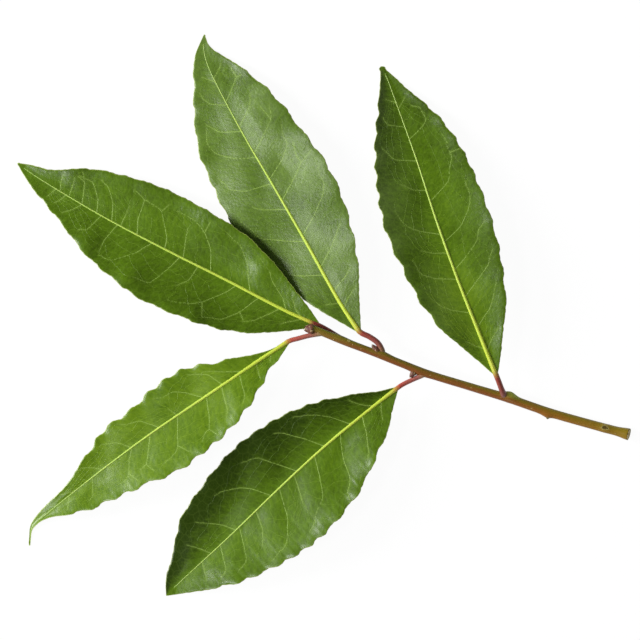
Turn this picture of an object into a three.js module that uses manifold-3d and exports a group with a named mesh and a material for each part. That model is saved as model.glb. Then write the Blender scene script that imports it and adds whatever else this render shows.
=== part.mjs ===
// Bay laurel sprig: a thin woody shoot with five stalked leaves, a terminal bud and two side buds.
// It lies flat: leaf tips and edges and the stem's cut end touch the plane z = 0.
// Millimetres, +Z up. Plan positions (x, y) are laid out from a point beside the shoot's tip,
// and the finished group is moved so that its origin is the middle of its footprint, at z = 0.

import * as THREE from 'three';
import Module from 'manifold-3d';

const wasm = await Module();
wasm.setup();

// ---------------------------------------------------------------- driving dimensions

const BLADE_THICKNESS = 0.4;
const THINNEST = 0.3; // where a blade is pressed against the surface it lies on
const BASE_HALF_WIDTH = 0.6; // of a blade, where it leaves its stalk
const TIP_HALF_WIDTH = 0.12;
const RIB_HALF_WIDTH = 0.6; // of the keel that the midrib makes under the blade
const RIB_WIDEST_SHARE = 0.3; // of the blade's half-width
const KEEL_DEPTH = 0.55; // how far the midrib stands out under the blade, at its base
const KEEL_TAPER = 0.8; // share of that depth lost by the tip
const CUP_POWER = 1.6; // how a half's fold steepens towards its edge
const RUFFLE_POWER = 4; // how quickly a ruffle dies out away from the edge
const RUFFLE_FULL_WIDTH = 4; // half-width from which ruffles reach their full height
const GAP = 0.3; // clearance between neighbouring solids

// The shoot's centre line from its cut end to its tip: [x, y, z, radius].
const STEM_LINE = [
  [83.4, -30.9, 1.6, 1.25],
  [72.9, -28.1, 1.8, 1.2],
  [62.1, -25.0, 2.5, 1.18],
  [51.3, -21.3, 3.5, 1.15],
  [40.5, -18.0, 4.6, 1.05],
  [29.7, -14.7, 5.6, 1.02],
  [21.6, -11.6, 6.4, 0.95],
  [13.5, -8.4, 7.1, 0.88],
  [5.4, -5.4, 7.8, 0.9],
  [-1.0, -3.3, 8.4, 0.86],
];
const STEM_SIDES = 12;
const STEM_STEPS = 44;
const CUT_FLARE = { height: 0.35, length: 0.022 };

// Swellings on the shoot: station along it, half-length (as a share), height, and the way it faces
// round the stem, in degrees from straight up towards its left as it grows.
const SWELLINGS = [
  { name: 'old leaf scar on top', at: 0.068, half: 0.016, height: 0.2, facing: 10 },
  { name: 'old leaf scar at the side', at: 0.228, half: 0.014, height: 0.4, facing: 95 },
  { name: 'cushion of leaf_right', at: 0.338, half: 0.018, height: 0.9, facing: -60 },
  { name: 'node of leaf_lower_middle', at: 0.59, half: 0.03, height: 0.3, facing: 80 },
  { name: 'node of leaf_upper_middle', at: 0.735, half: 0.03, height: 0.35, facing: -80 },
  { name: 'node of leaf_upper_left', at: 0.885, half: 0.03, height: 0.2, facing: -90 },
];

// Stations along a blade, from its base (0) to its tip (1), at which the lists below are given.
const WIDTH_AT = [0, 0.05, 0.1, 0.2, 0.3, 0.4, 0.5, 0.6, 0.7, 0.8, 0.9, 0.96, 1];
const BOW_AT = [0, 0.1, 0.3, 0.5, 0.7, 0.9, 0.96, 1];
const HEIGHT_AT = [0, 0.2, 0.4, 0.6, 0.8, 1];

// Each leaf. Left and right are as seen from above, looking from the leaf's base to its tip.
//   stalk       centre line of the leaf stalk, from inside the stem to the blade, [x, y, z]
//   bow         how far the midrib stands to the left of the line from base to tip
//   left/right  half-widths of the blade, in plan
//   rise        height of the midrib above the surface the sprig lies on
//   foldLeft/Right  how far that half's edge is folded up above the midrib
//   roll        slope across the blade; a positive roll lifts the left half
//   crests*     stations where that edge's ruffle stands out and up
//   ruffle*     how far it stands out and up there
const LEAVES = [
  {
    name: 'leaf_upper_left',
    stalk: [[6.3, -5.6, 7.7], [5.2, -4.7, 7.1], [2.4, -2.9, 6.5]],
    stalkRadius: 0.66,
    base: [-0.4, -1.4],
    tip: [-81.8, 42.4],
    bow: [0.75, 1.05, 1.6, 1.75, 1.0, 0.5],
    left: [3.5, 6.3, 11.1, 13.6, 14.6, 14.9, 13.3, 11.1, 7.3, 4.0, 1.9],
    right: [3.4, 5.8, 10.0, 13.0, 14.2, 14.7, 14.4, 12.6, 9.6, 3.9, 1.9],
    rise: [6.4, 5.9, 5.3, 4.3, 2.4, -0.3],
    foldLeft: [1.2, 1.6, 1.5, 0.9],
    foldRight: [1.6, 2.1, 1.8, 1.0],
    roll: [0, 0.08, 0.13, 0.13, 0.1, 0],
    crestsLeft: [0.17, 0.25, 0.32, 0.4, 0.5, 0.56, 0.63, 0.7, 0.78, 0.85, 0.91],
    crestsRight: [0.2, 0.3, 0.37, 0.45, 0.51, 0.57, 0.64, 0.7, 0.76, 0.83],
    ruffleLeft: { out: 0.2, up: 0.16 },
    ruffleRight: { out: 0.12, up: 0.08 },
  },
  {
    name: 'leaf_upper_middle',
    stalk: [[16.9, -9.8, 6.9], [16.5, -7.9, 7.1], [15.5, -6.1, 7.4], [13.3, -4.5, 7.6]],
    stalkRadius: 0.76,
    base: [10.5, -3.0],
    tip: [-31.3, 77.2],
    bow: [0.95, 1.5, 2.3, 3.15, 3.1, 2.0],
    left: [2.9, 5.3, 9.6, 12.7, 14.5, 14.9, 14.0, 12.7, 9.2, 4.8, 2.5],
    right: [3.2, 5.7, 10.1, 12.9, 14.8, 15.3, 14.3, 13.1, 10.5, 5.8, 1.9],
    rise: [7.6, 6.6, 4.9, 3.4, 1.7, -0.2],
    foldLeft: [0.5, 0.7, 0.6, 0.4],
    foldRight: [0.7, 0.9, 0.8, 0.5],
    roll: [-0.1, -0.18, -0.2, -0.2, -0.17, -0.1],
    crestsLeft: [0.15, 0.23, 0.31, 0.38, 0.46, 0.54, 0.6, 0.68, 0.775, 0.84, 0.91],
    crestsRight: [0.175, 0.25, 0.33, 0.42, 0.51, 0.59, 0.69, 0.77, 0.85],
    ruffleLeft: { out: 0.25, up: 0.12 },
    ruffleRight: { out: 0.28, up: 0.14 },
  },
  {
    name: 'leaf_right',
    stalk: [[49.6, -20.9, 3.9], [49.3, -20.0, 5.2], [48.8, -18.4, 6.2], [48.0, -16.3, 7.0]],
    stalkRadius: 0.68,
    base: [47.3, -14.6],
    tip: [16.5, 68.6],
    bow: [0.3, 0.75, 0.6, -0.15, -0.4, -0.4],
    left: [2.8, 5.2, 9.5, 11.9, 13.0, 13.9, 13.4, 11.6, 8.6, 4.3, 2.0],
    right: [3.2, 5.5, 9.9, 12.4, 13.8, 14.1, 13.5, 12.1, 9.3, 4.4, 1.8],
    rise: [7.6, 8.1, 7.3, 5.3, 2.4, -0.3],
    foldLeft: [1.6, 2.2, 2.1, 1.2],
    foldRight: [1.5, 2.4, 2.3, 1.2],
    roll: [0, 0.06, 0.08, 0.08, 0.06, 0],
    crestsLeft: [0.2, 0.28, 0.37, 0.445, 0.54, 0.605, 0.66, 0.715, 0.78, 0.84, 0.89],
    crestsRight: [0.21, 0.29, 0.36, 0.45, 0.53, 0.6, 0.66, 0.72, 0.79, 0.85],
    ruffleLeft: { out: 0.35, up: 0.16 },
    ruffleRight: { out: 0.25, up: 0.14 },
  },
  {
    name: 'leaf_lower_left',
    stalk: [[0.6, -4.0, 8.2], [-1.35, -4.0, 8.3], [-3.4, -4.3, 8.3], [-6.0, -5.0, 8.2]],
    stalkRadius: 0.66,
    base: [-8.6, -5.8],
    tip: [-78.6, -61.0],
    bow: [-0.8, -2.1, -3.4, -3.9, -3.8, -3.3],
    left: [2.3, 3.9, 8.2, 10.9, 12.1, 12.4, 10.3, 8.3, 5.9, 1.2, 0.4],
    right: [0.7, 2.0, 5.7, 9.5, 9.8, 8.4, 8.3, 5.4, 2.7, 1.8, 0.7],
    rise: [8.0, 8.0, 6.6, 4.7, 2.2, -0.2],
    foldLeft: [1.3, 2.0, 1.8, 0.7],
    foldRight: [0.6, 0.8, 0.8, 0.4],
    roll: [0, 0.05, 0.07, 0.07, 0.08, 0.6],
    crestsLeft: [0.06, 0.135, 0.2, 0.27, 0.34, 0.4, 0.47, 0.55, 0.64, 0.7, 0.775, 0.85],
    crestsRight: [0.18, 0.25, 0.31, 0.367, 0.43, 0.5, 0.575, 0.636, 0.7],
    ruffleLeft: { out: 0.4, up: 0.2 },
    ruffleRight: { out: 0.4, up: 0.16 },
  },
  {
    name: 'leaf_lower_middle',
    stalk: [[28.2, -14.5, 5.8], [26.6, -15.3, 5.9], [24.0, -16.5, 6.1], [22.2, -17.4, 6.3]],
    stalkRadius: 0.63,
    base: [20.6, -18.5],
    tip: [-41.6, -74.5],
    bow: [-0.65, -1.35, -1.15, -0.5, -0.25, -0.15],
    left: [3.6, 6.8, 11.2, 14.9, 16.6, 17.1, 16.0, 13.6, 10.6, 5.7, 2.5],
    right: [2.5, 5.1, 9.8, 13.1, 15.1, 16.2, 15.9, 14.6, 12.4, 6.5, 3.6],
    rise: [6.4, 5.9, 4.8, 3.3, 1.5, -0.3],
    foldLeft: [1.8, 2.8, 2.6, 1.3],
    foldRight: [2.2, 3.0, 2.7, 1.4],
    roll: [0, 0.05, 0.07, 0.07, 0.06, 0],
    crestsLeft: [0.14, 0.21, 0.32, 0.41, 0.485, 0.54, 0.6, 0.66, 0.735, 0.8, 0.87],
    crestsRight: [0.125, 0.197, 0.245, 0.31, 0.37, 0.43, 0.49, 0.56, 0.64, 0.72, 0.8, 0.86],
    ruffleLeft: { out: 0.32, up: 0.16 },
    ruffleRight: { out: 0.22, up: 0.12 },
  },
];

// How finely the blades and stalks are drawn.
const BLADE_STEPS = 36;
const BASE_CROWDING = 1.2; // over 1 puts a blade's sections closer together at its base
const STALK_STEPS = 6;
const STALK_BLEND = 0.05; // share of the blade over which it grows out of the stalk
const OUTER_COLUMNS = [0.4, 0.74, 1]; // shares of the half-width where a section has points
const EDGE_ANGLE = 80; // degrees from the top of the stalk to the first point of its underside

// Buds: root and tip of the axis, [x, y, z], and the largest radius.
const BUDS = [
  { name: 'terminal_bud', root: [-1.0, -2.6, 8.8], tip: [-4.9, -2.4, 9.2], radius: 1.35 },
  { name: 'axillary_bud_upper', root: [15.6, -8.6, 7.2], tip: [13.7, -6.3, 7.8], radius: 0.8 },
  { name: 'axillary_bud_lower', root: [25.4, -13.9, 6.2], tip: [24.0, -15.7, 6.5], radius: 0.8 },
];
// A bud's outline: share of its length, share of its largest radius.
const BUD_PROFILE = [
  [0.02, 0.4], [0.12, 0.78], [0.3, 1], [0.5, 0.92], [0.7, 0.64], [0.87, 0.3], [1, 0.04],
];
const BUD_SIDES = 12;

const COLOURS = { stem: 0x6e5a22, leaf: 0x4f7a28, bud: 0x7a5140 };
const ROUGHNESS = { stem: 0.6, leaf: 0.45, bud: 0.7 };

// ---------------------------------------------------------------- curves and solids

// Smooth value at x between listed stations: a cubic with slopes taken from the neighbours.
function smoothAt(stations, values, x) {
  const last = stations.length - 1;
  const clamped = Math.min(Math.max(x, stations[0]), stations[last]);
  let i = 0;
  while (i < last - 1 && clamped > stations[i + 1]) i += 1;
  const slope = (k) => {
    const a = Math.max(k - 1, 0);
    const b = Math.min(k + 1, last);
    return (values[b] - values[a]) / (stations[b] - stations[a]);
  };
  const span = stations[i + 1] - stations[i];
  const u = (clamped - stations[i]) / span;
  const start = (1 + 2 * u) * (1 - u) ** 2 * values[i] + u * (1 - u) ** 2 * span * slope(i);
  const end = u * u * (3 - 2 * u) * values[i + 1] + u * u * (u - 1) * span * slope(i + 1);
  return start + end;
}

// A closed solid from rings of points that follow each other, with a flat cap at each end.
// A ring's points turn anticlockwise as seen looking from the first ring towards the last.
function loft(rings) {
  const sides = rings[0].length;
  const lastRing = (rings.length - 1) * sides;
  const vertices = rings.flat();
  const triangles = [];
  for (let first = 0; first < lastRing; first += sides) {
    for (let k = 0; k < sides; k += 1) {
      const a = first + k;
      const b = first + ((k + 1) % sides);
      triangles.push([a, b + sides, b], [a, a + sides, b + sides]);
    }
  }
  for (const first of [0, lastRing]) {
    const ring = vertices.slice(first, first + sides);
    const centre = [0, 1, 2].map((axis) => ring.reduce((sum, p) => sum + p[axis], 0) / sides);
    const hub = vertices.push(centre) - 1;
    for (let k = 0; k < sides; k += 1) {
      const a = first + k;
      const b = first + ((k + 1) % sides);
      triangles.push(first === 0 ? [hub, a, b] : [hub, b, a]);
    }
  }
  return new wasm.Manifold(new wasm.Mesh({
    numProp: 3,
    vertProperties: new Float32Array(vertices.flat()),
    triVerts: new Uint32Array(triangles.flat()),
  }));
}

function toGeometry(solid) {
  const mesh = solid.getMesh();
  const geometry = new THREE.BufferGeometry();
  geometry.setAttribute('position', new THREE.BufferAttribute(mesh.vertProperties, 3));
  geometry.setIndex(new THREE.BufferAttribute(mesh.triVerts, 1));
  geometry.computeVertexNormals();
  return geometry;
}

// Directions across a line that runs along `tangent`: to its left in plan, and up.
function directionsAcross(tangent) {
  const left = new THREE.Vector3(-tangent.y, tangent.x, 0).normalize();
  const up = new THREE.Vector3().crossVectors(tangent, left).normalize();
  return { left, up };
}

// The point that lies the given distances to the left of and above `centre`.
function offsetPoint(centre, { left, up }, sideways, upwards) {
  return centre.clone().addScaledVector(left, sideways).addScaledVector(up, upwards).toArray();
}

// ---------------------------------------------------------------- stem

const stemCurve = new THREE.CatmullRomCurve3(
  STEM_LINE.map(([x, y, z]) => new THREE.Vector3(x, y, z)),
);

function stemRadius(share, degrees) {
  const stations = STEM_LINE.map((_, i) => i / (STEM_LINE.length - 1));
  let radius = smoothAt(stations, STEM_LINE.map((point) => point[3]), share);
  radius += CUT_FLARE.height * Math.exp(-((share / CUT_FLARE.length) ** 2));
  for (const { at, half, height, facing } of SWELLINGS) {
    const along = Math.exp(-(((share - at) / half) ** 2));
    const round = Math.max(0, Math.cos(THREE.MathUtils.degToRad(degrees - facing)));
    radius += height * along * round;
  }
  return radius;
}

// The stem, or the stem grown by `extra` all round, which cuts its neighbours clear of it.
function stemSolid(extra) {
  const rings = [];
  for (let i = 0; i <= STEM_STEPS; i += 1) {
    const share = i / STEM_STEPS;
    const centre = stemCurve.getPoint(share);
    const directions = directionsAcross(stemCurve.getTangent(share));
    rings.push(Array.from({ length: STEM_SIDES }, (_, k) => {
      const turn = (k / STEM_SIDES) * 2 * Math.PI;
      const radius = stemRadius(share, THREE.MathUtils.radToDeg(turn)) + extra;
      return offsetPoint(centre, directions, radius * Math.sin(turn), radius * Math.cos(turn));
    }));
  }
  return loft(rings);
}

// ---------------------------------------------------------------- leaves

// Where the midrib runs, at share t of the blade.
function midribPoint(leaf, t) {
  const [baseX, baseY] = leaf.base;
  const chord = new THREE.Vector2(leaf.tip[0] - baseX, leaf.tip[1] - baseY);
  const bow = smoothAt(BOW_AT, [0, ...leaf.bow, 0], t);
  const left = new THREE.Vector2(-chord.y, chord.x).normalize();
  return new THREE.Vector3(
    baseX + chord.x * t + left.x * bow,
    baseY + chord.y * t + left.y * bow,
    smoothAt(HEIGHT_AT, leaf.rise, t),
  );
}

// A wave along an edge that is 1 at each crest and -1 midway between two, and dies out past them.
function ruffleWave(crests, t) {
  const last = crests.length - 1;
  if (t <= crests[0]) return Math.max(0, 1 - (crests[0] - t) / (crests[1] - crests[0]));
  if (t >= crests[last]) return Math.max(0, 1 - (t - crests[last]) / (crests[last] - crests[last - 1]));
  const i = crests.findIndex((crest) => crest > t) - 1;
  return Math.cos((2 * Math.PI * (t - crests[i])) / (crests[i + 1] - crests[i]));
}

// One half of the blade at share t: its half-width, fold and ruffle.
function halfBlade(leaf, side, t) {
  const widths = [BASE_HALF_WIDTH, ...(side > 0 ? leaf.left : leaf.right), TIP_HALF_WIDTH];
  const folds = [0, ...(side > 0 ? leaf.foldLeft : leaf.foldRight), 0];
  const crests = side > 0 ? leaf.crestsLeft : leaf.crestsRight;
  const ruffle = side > 0 ? leaf.ruffleLeft : leaf.ruffleRight;
  const width = smoothAt(WIDTH_AT, widths, t);
  const wave = ruffleWave(crests, t) * Math.min(1, width / RUFFLE_FULL_WIDTH);
  return {
    width: width + ruffle.out * wave,
    fold: smoothAt(HEIGHT_AT, folds, t),
    lift: ruffle.up * wave,
  };
}

// Height of the blade's middle layer above the midrib, at share w of the half-width.
function bladeHeight(leaf, half, t, w, sideways) {
  const cup = w ** CUP_POWER;
  const roll = smoothAt(HEIGHT_AT, leaf.roll, t);
  return roll * sideways + half.fold * cup + half.lift * w ** RUFFLE_POWER;
}

// Section of the blade: points along its top from right to left, then back along its underside.
function bladeRing(leaf, t) {
  const middle = midribPoint(leaf, t);
  const chord = new THREE.Vector3(leaf.tip[0] - leaf.base[0], leaf.tip[1] - leaf.base[1], 0);
  const { left } = directionsAcross(chord);
  const top = [];
  const underside = [];
  const addColumn = (side, w, keel) => {
    const half = halfBlade(leaf, side, t);
    const sideways = side * w * half.width;
    const height = middle.z + bladeHeight(leaf, half, t, w, sideways);
    const low = Math.max(0, height - BLADE_THICKNESS / 2 - keel);
    const high = Math.max(low + THINNEST, height + BLADE_THICKNESS / 2);
    const x = middle.x + left.x * sideways;
    const y = middle.y + left.y * sideways;
    top.push([x, y, high]);
    underside.unshift([x, y, low]);
  };
  const shares = (side) => {
    const rib = Math.min(RIB_HALF_WIDTH / halfBlade(leaf, side, t).width, RIB_WIDEST_SHARE);
    return [rib, ...OUTER_COLUMNS];
  };
  for (const w of shares(-1).reverse()) addColumn(-1, w, 0);
  addColumn(1, 0, KEEL_DEPTH * (1 - KEEL_TAPER * t));
  for (const w of shares(1)) addColumn(1, w, 0);
  return [...top, ...underside];
}

// Round section of the leaf stalk, with as many points as a section of the blade.
function stalkRing(centre, tangent, radius) {
  const directions = directionsAcross(tangent);
  const reach = OUTER_COLUMNS.length + 1;
  const ring = [];
  for (const face of [1, -1]) {
    for (let k = -reach; k <= reach; k += 1) {
      const angle = THREE.MathUtils.degToRad((face * k * EDGE_ANGLE) / reach);
      const upwards = face * radius * Math.cos(angle);
      ring.push(offsetPoint(centre, directions, radius * Math.sin(angle), upwards));
    }
  }
  return ring;
}

// Rings along the stalk, from inside the stem to the blade's base.
function stalkRings(leaf, radius) {
  const points = leaf.stalk.map(([x, y, z]) => new THREE.Vector3(x, y, z));
  points.push(midribPoint(leaf, 0), midribPoint(leaf, STALK_BLEND));
  const curve = new THREE.CatmullRomCurve3(points);
  const baseAt = leaf.stalk.length / (points.length - 1);
  return Array.from({ length: STALK_STEPS + 1 }, (_, i) => {
    const at = (baseAt * i) / STALK_STEPS;
    return stalkRing(curve.getPoint(at), curve.getTangent(at), radius);
  });
}

// Where the blade grows out of the stalk, its section turns from round to flat.
function blendedRing(leaf, t) {
  const blade = bladeRing(leaf, t);
  if (t >= STALK_BLEND) return blade;
  const centre = midribPoint(leaf, t);
  const tangent = midribPoint(leaf, t + STALK_BLEND).sub(centre).normalize();
  const round = stalkRing(centre, tangent, leaf.stalkRadius);
  const share = THREE.MathUtils.smoothstep(t, 0, STALK_BLEND);
  return blade.map((point, k) => point.map((v, axis) => v * share + round[k][axis] * (1 - share)));
}

function leafSolid(leaf) {
  const rings = stalkRings(leaf, leaf.stalkRadius);
  for (let i = 1; i <= BLADE_STEPS; i += 1) {
    const even = i / BLADE_STEPS;
    rings.push(blendedRing(leaf, even ** BASE_CROWDING));
  }
  return loft(rings).subtract(stemSolid(GAP));
}

// ---------------------------------------------------------------- buds

function budSolid({ root, tip, radius }) {
  const start = new THREE.Vector3(...root);
  const end = new THREE.Vector3(...tip);
  const directions = directionsAcross(end.clone().sub(start).normalize());
  const rings = BUD_PROFILE.map(([along, share]) => {
    const centre = start.clone().lerp(end, along);
    return Array.from({ length: BUD_SIDES }, (_, k) => {
      const turn = (k / BUD_SIDES) * 2 * Math.PI;
      const reach = radius * share;
      return offsetPoint(centre, directions, reach * Math.sin(turn), reach * Math.cos(turn));
    });
  });
  return LEAVES.reduce(
    (bud, leaf) => bud.subtract(loft(stalkRings(leaf, leaf.stalkRadius + GAP))),
    loft(rings).subtract(stemSolid(GAP)),
  );
}

// ---------------------------------------------------------------- assembly

function addPart(group, name, solid, finish) {
  const material = new THREE.MeshStandardMaterial({
    color: COLOURS[finish],
    roughness: ROUGHNESS[finish],
    metalness: 0,
  });
  const mesh = new THREE.Mesh(toGeometry(solid), material);
  mesh.name = name;
  group.add(mesh);
}

function sprig() {
  const group = new THREE.Group();
  addPart(group, 'stem', stemSolid(0), 'stem');
  for (const leaf of LEAVES) addPart(group, leaf.name, leafSolid(leaf), 'leaf');
  for (const bud of BUDS) addPart(group, bud.name, budSolid(bud), 'bud');
  const box = new THREE.Box3().setFromObject(group);
  const middle = box.getCenter(new THREE.Vector3());
  group.position.set(-middle.x, -middle.y, -box.min.z);
  return group;
}

export default sprig();
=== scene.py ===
# %% [markdown]
# # A cut sprig of bay laurel
#
# A sprig is a thin woody shoot with leaves on short stalks, set one after another on either side.
# It lies on a table with the camera straight above it. The CAD model already fixes where every leaf,
# stalk and bud is, and how big it is. This notebook dresses that frame: it gives the blades their
# veins and ruffled edges, the shoot its bark and scars, and the buds their scales.

import math

import bpy
import numpy as np
from mathutils import Matrix, Vector


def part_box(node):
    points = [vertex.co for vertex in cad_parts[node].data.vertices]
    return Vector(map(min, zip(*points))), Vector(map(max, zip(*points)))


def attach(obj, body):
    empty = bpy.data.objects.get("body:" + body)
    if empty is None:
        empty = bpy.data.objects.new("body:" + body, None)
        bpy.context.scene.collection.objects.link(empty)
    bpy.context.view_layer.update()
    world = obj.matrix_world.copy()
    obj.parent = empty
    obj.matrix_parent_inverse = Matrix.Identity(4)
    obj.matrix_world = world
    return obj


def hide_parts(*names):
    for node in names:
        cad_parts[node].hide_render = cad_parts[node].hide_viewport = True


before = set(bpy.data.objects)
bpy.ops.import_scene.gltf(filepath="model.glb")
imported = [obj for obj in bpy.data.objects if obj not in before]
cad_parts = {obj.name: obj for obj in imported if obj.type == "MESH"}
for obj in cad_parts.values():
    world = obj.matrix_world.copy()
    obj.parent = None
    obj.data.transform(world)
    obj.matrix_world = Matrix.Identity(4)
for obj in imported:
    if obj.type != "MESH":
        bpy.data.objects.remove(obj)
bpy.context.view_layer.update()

# %% [markdown]
# ## Small helpers
#
# Blender's shaders work in linear light, but people pick colours as sRGB hex codes, so one function
# turns the one into the other. A small class adds nodes to a tree. Each input gets a plain value or a
# link from an earlier node, which keeps every material below down to a short list of nodes.

# %% Colour and node helpers
MM = 0.001  # metres in a millimetre


def linear(hex_code):
    """An sRGB colour such as 0x4F7322, as linear red, green, blue and alpha."""
    channels = [(hex_code >> shift & 255) / 255 for shift in (16, 8, 0)]
    return [c / 12.92 if c <= 0.04045 else ((c + 0.055) / 1.055) ** 2.4 for c in channels] + [1]


def fill(node, inputs):
    """Gives inputs, found by name or number, a value or a link. A node stands for its first output."""
    for key, given in dict(inputs).items():
        if isinstance(given, bpy.types.Node):
            given = next(output for output in given.outputs if output.enabled)
        if isinstance(given, bpy.types.NodeSocket):
            node.id_data.links.new(given, node.inputs[key])
        else:
            node.inputs[key].default_value = given


class Nodes:
    """Adds nodes to one tree. The kinds that come up often have a method of their own."""

    def __init__(self, tree):
        self.tree = tree

    def add(self, kind, inputs=(), **settings):
        node = self.tree.nodes.new(kind)
        for name, value in settings.items():
            setattr(node, name, value)
        fill(node, inputs)
        return node

    def read(self, name, output="Fac"):
        """What the mesh keeps for each vertex under this name."""
        return self.add("ShaderNodeAttribute", attribute_name=name).outputs[output]

    def maths(self, operation, *values):
        return self.add("ShaderNodeMath", enumerate(values), operation=operation)

    def remap(self, value, old=(0.0, 1.0), new=(0.0, 1.0), **settings):
        """Turns the range `old` into the range `new`, and stays inside it."""
        ends = {"From Min": old[0], "From Max": old[1], "To Min": new[0], "To Max": new[1]}
        return self.add("ShaderNodeMapRange", {"Value": value, **ends}, **settings)

    def blend(self, share, first, second, **settings):
        """From the first colour, where the share is 0, to the second one."""
        inputs = {"Factor": share, "A": first, "B": second}
        return self.add("ShaderNodeMix", inputs, data_type="RGBA", **settings)

    def noise(self, place, scale, detail=2.0, roughness=0.5):
        inputs = {"Vector": place, "Scale": scale, "Detail": detail, "Roughness": roughness}
        return self.add("ShaderNodeTexNoise", inputs)

    def ramp(self, value, stops):
        """A colour for the value, through stops of (position, hex colour)."""
        node = self.add("ShaderNodeValToRGB", {"Fac": value})
        elements = node.color_ramp.elements
        while len(elements) < len(stops):
            elements.new(1.0)
        for element, (position, colour) in zip(elements, stops):
            element.position = position
            element.color = linear(colour)
        return node


def add_object(name, data):
    made = bpy.data.objects.new(name, data)
    bpy.context.collection.objects.link(made)
    return made


# %% [markdown]
# ## Curves through a few stations
#
# A leaf's outline, its bend and its folds are each known at a few stations from base to tip. Between
# them a leaf is smooth, so the values in between follow a cubic that passes through every station.
# A plain polyline would leave corners that show as creases in the blade's gloss.

# %% Smooth values between stations, and a smooth bump
def hump(x):
    """1 at 0, falling off smoothly to almost nothing beyond 2."""
    return np.exp(-(x**2))


def smooth_at(stations, values, x):
    """Values at x, on a cubic through the stations whose slopes come from the neighbours."""
    s = np.asarray(stations, float)
    v = np.asarray(values, float)
    last = len(s) - 1
    before = np.maximum(np.arange(last + 1) - 1, 0)
    after = np.minimum(np.arange(last + 1) + 1, last)
    slope = (v[after] - v[before]) / (s[after] - s[before])
    x = np.clip(x, s[0], s[-1])
    i = np.clip(np.searchsorted(s, x) - 1, 0, last - 1)
    span = s[i + 1] - s[i]
    u = (x - s[i]) / span
    start = (1 + 2 * u) * (1 - u) ** 2 * v[i] + u * (1 - u) ** 2 * span * slope[i]
    end = u * u * (3 - 2 * u) * v[i + 1] + u * u * (u - 1) * span * slope[i + 1]
    return start + end


def smooth_line(points, count):
    """`count` points on a smooth line through the given points, evenly spread over its pieces."""
    points = np.asarray(points, float)
    at = np.linspace(0, len(points) - 1, count)
    return np.stack([smooth_at(np.arange(len(points)), column, at) for column in points.T], axis=1)


def straight_line(points, count):
    """The same with straight pieces."""
    at = np.linspace(0, len(points) - 1, count)
    return np.stack([np.interp(at, np.arange(len(points)), column) for column in points.T], axis=1)


# %% [markdown]
# ## What the leaves measure
#
# These are the same driving dimensions as in the CAD source, in millimetres, so that the dressed
# leaves land on its solids. Pairs are for the left and the right, as seen from above, looking from
# base to tip. `bow`, `half_width`, `rise`, `roll` and `fold` are read at the stations below. `crests`
# are shares of the blade, and `ruffle` is how far a crest stands out and up. Each leaf also has what
# the CAD model leaves out:
#
# - Its tone is how light a green it is at its left edge, midrib and right edge, first by the base and
#   then by the tip. Besides the leaf's own green, this tone holds painted shade where a half turns away
#   from the lamps, and painted sheen where a half is made lighter. Its leathery value is how deep the
#   grain of its skin is at those three, and how strongly a pale painted sheen covers it there.
# - `blush` goes from a deep red-brown stalk (0) to a rosy one (1), and `flush` is how far that colour
#   runs up the midrib. `blunt` is the radius of the blade's rounded end.
# - `puckers` are soft bumps: how far along and across the blade, how wide and how high.
# - `veins` are the turning points (t, w) of its side veins, in percent. t runs from base to tip and w
#   from the midrib to the edge, positive on the left.

# %% Leaf stations
WIDTH_AT = [0, 0.05, 0.1, 0.2, 0.3, 0.4, 0.5, 0.6, 0.7, 0.8, 0.9, 0.96, 1]
BOW_AT = [0, 0.1, 0.3, 0.5, 0.7, 0.9, 0.96, 1]
HEIGHT_AT = [0, 0.2, 0.4, 0.6, 0.8, 1]
BASE_HALF_WIDTH = 0.6
TIP_HALF_WIDTH = 0.12
CUP_POWER = 1.6
RUFFLE_POWER = 4
RUFFLE_FULL_WIDTH = 4

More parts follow.
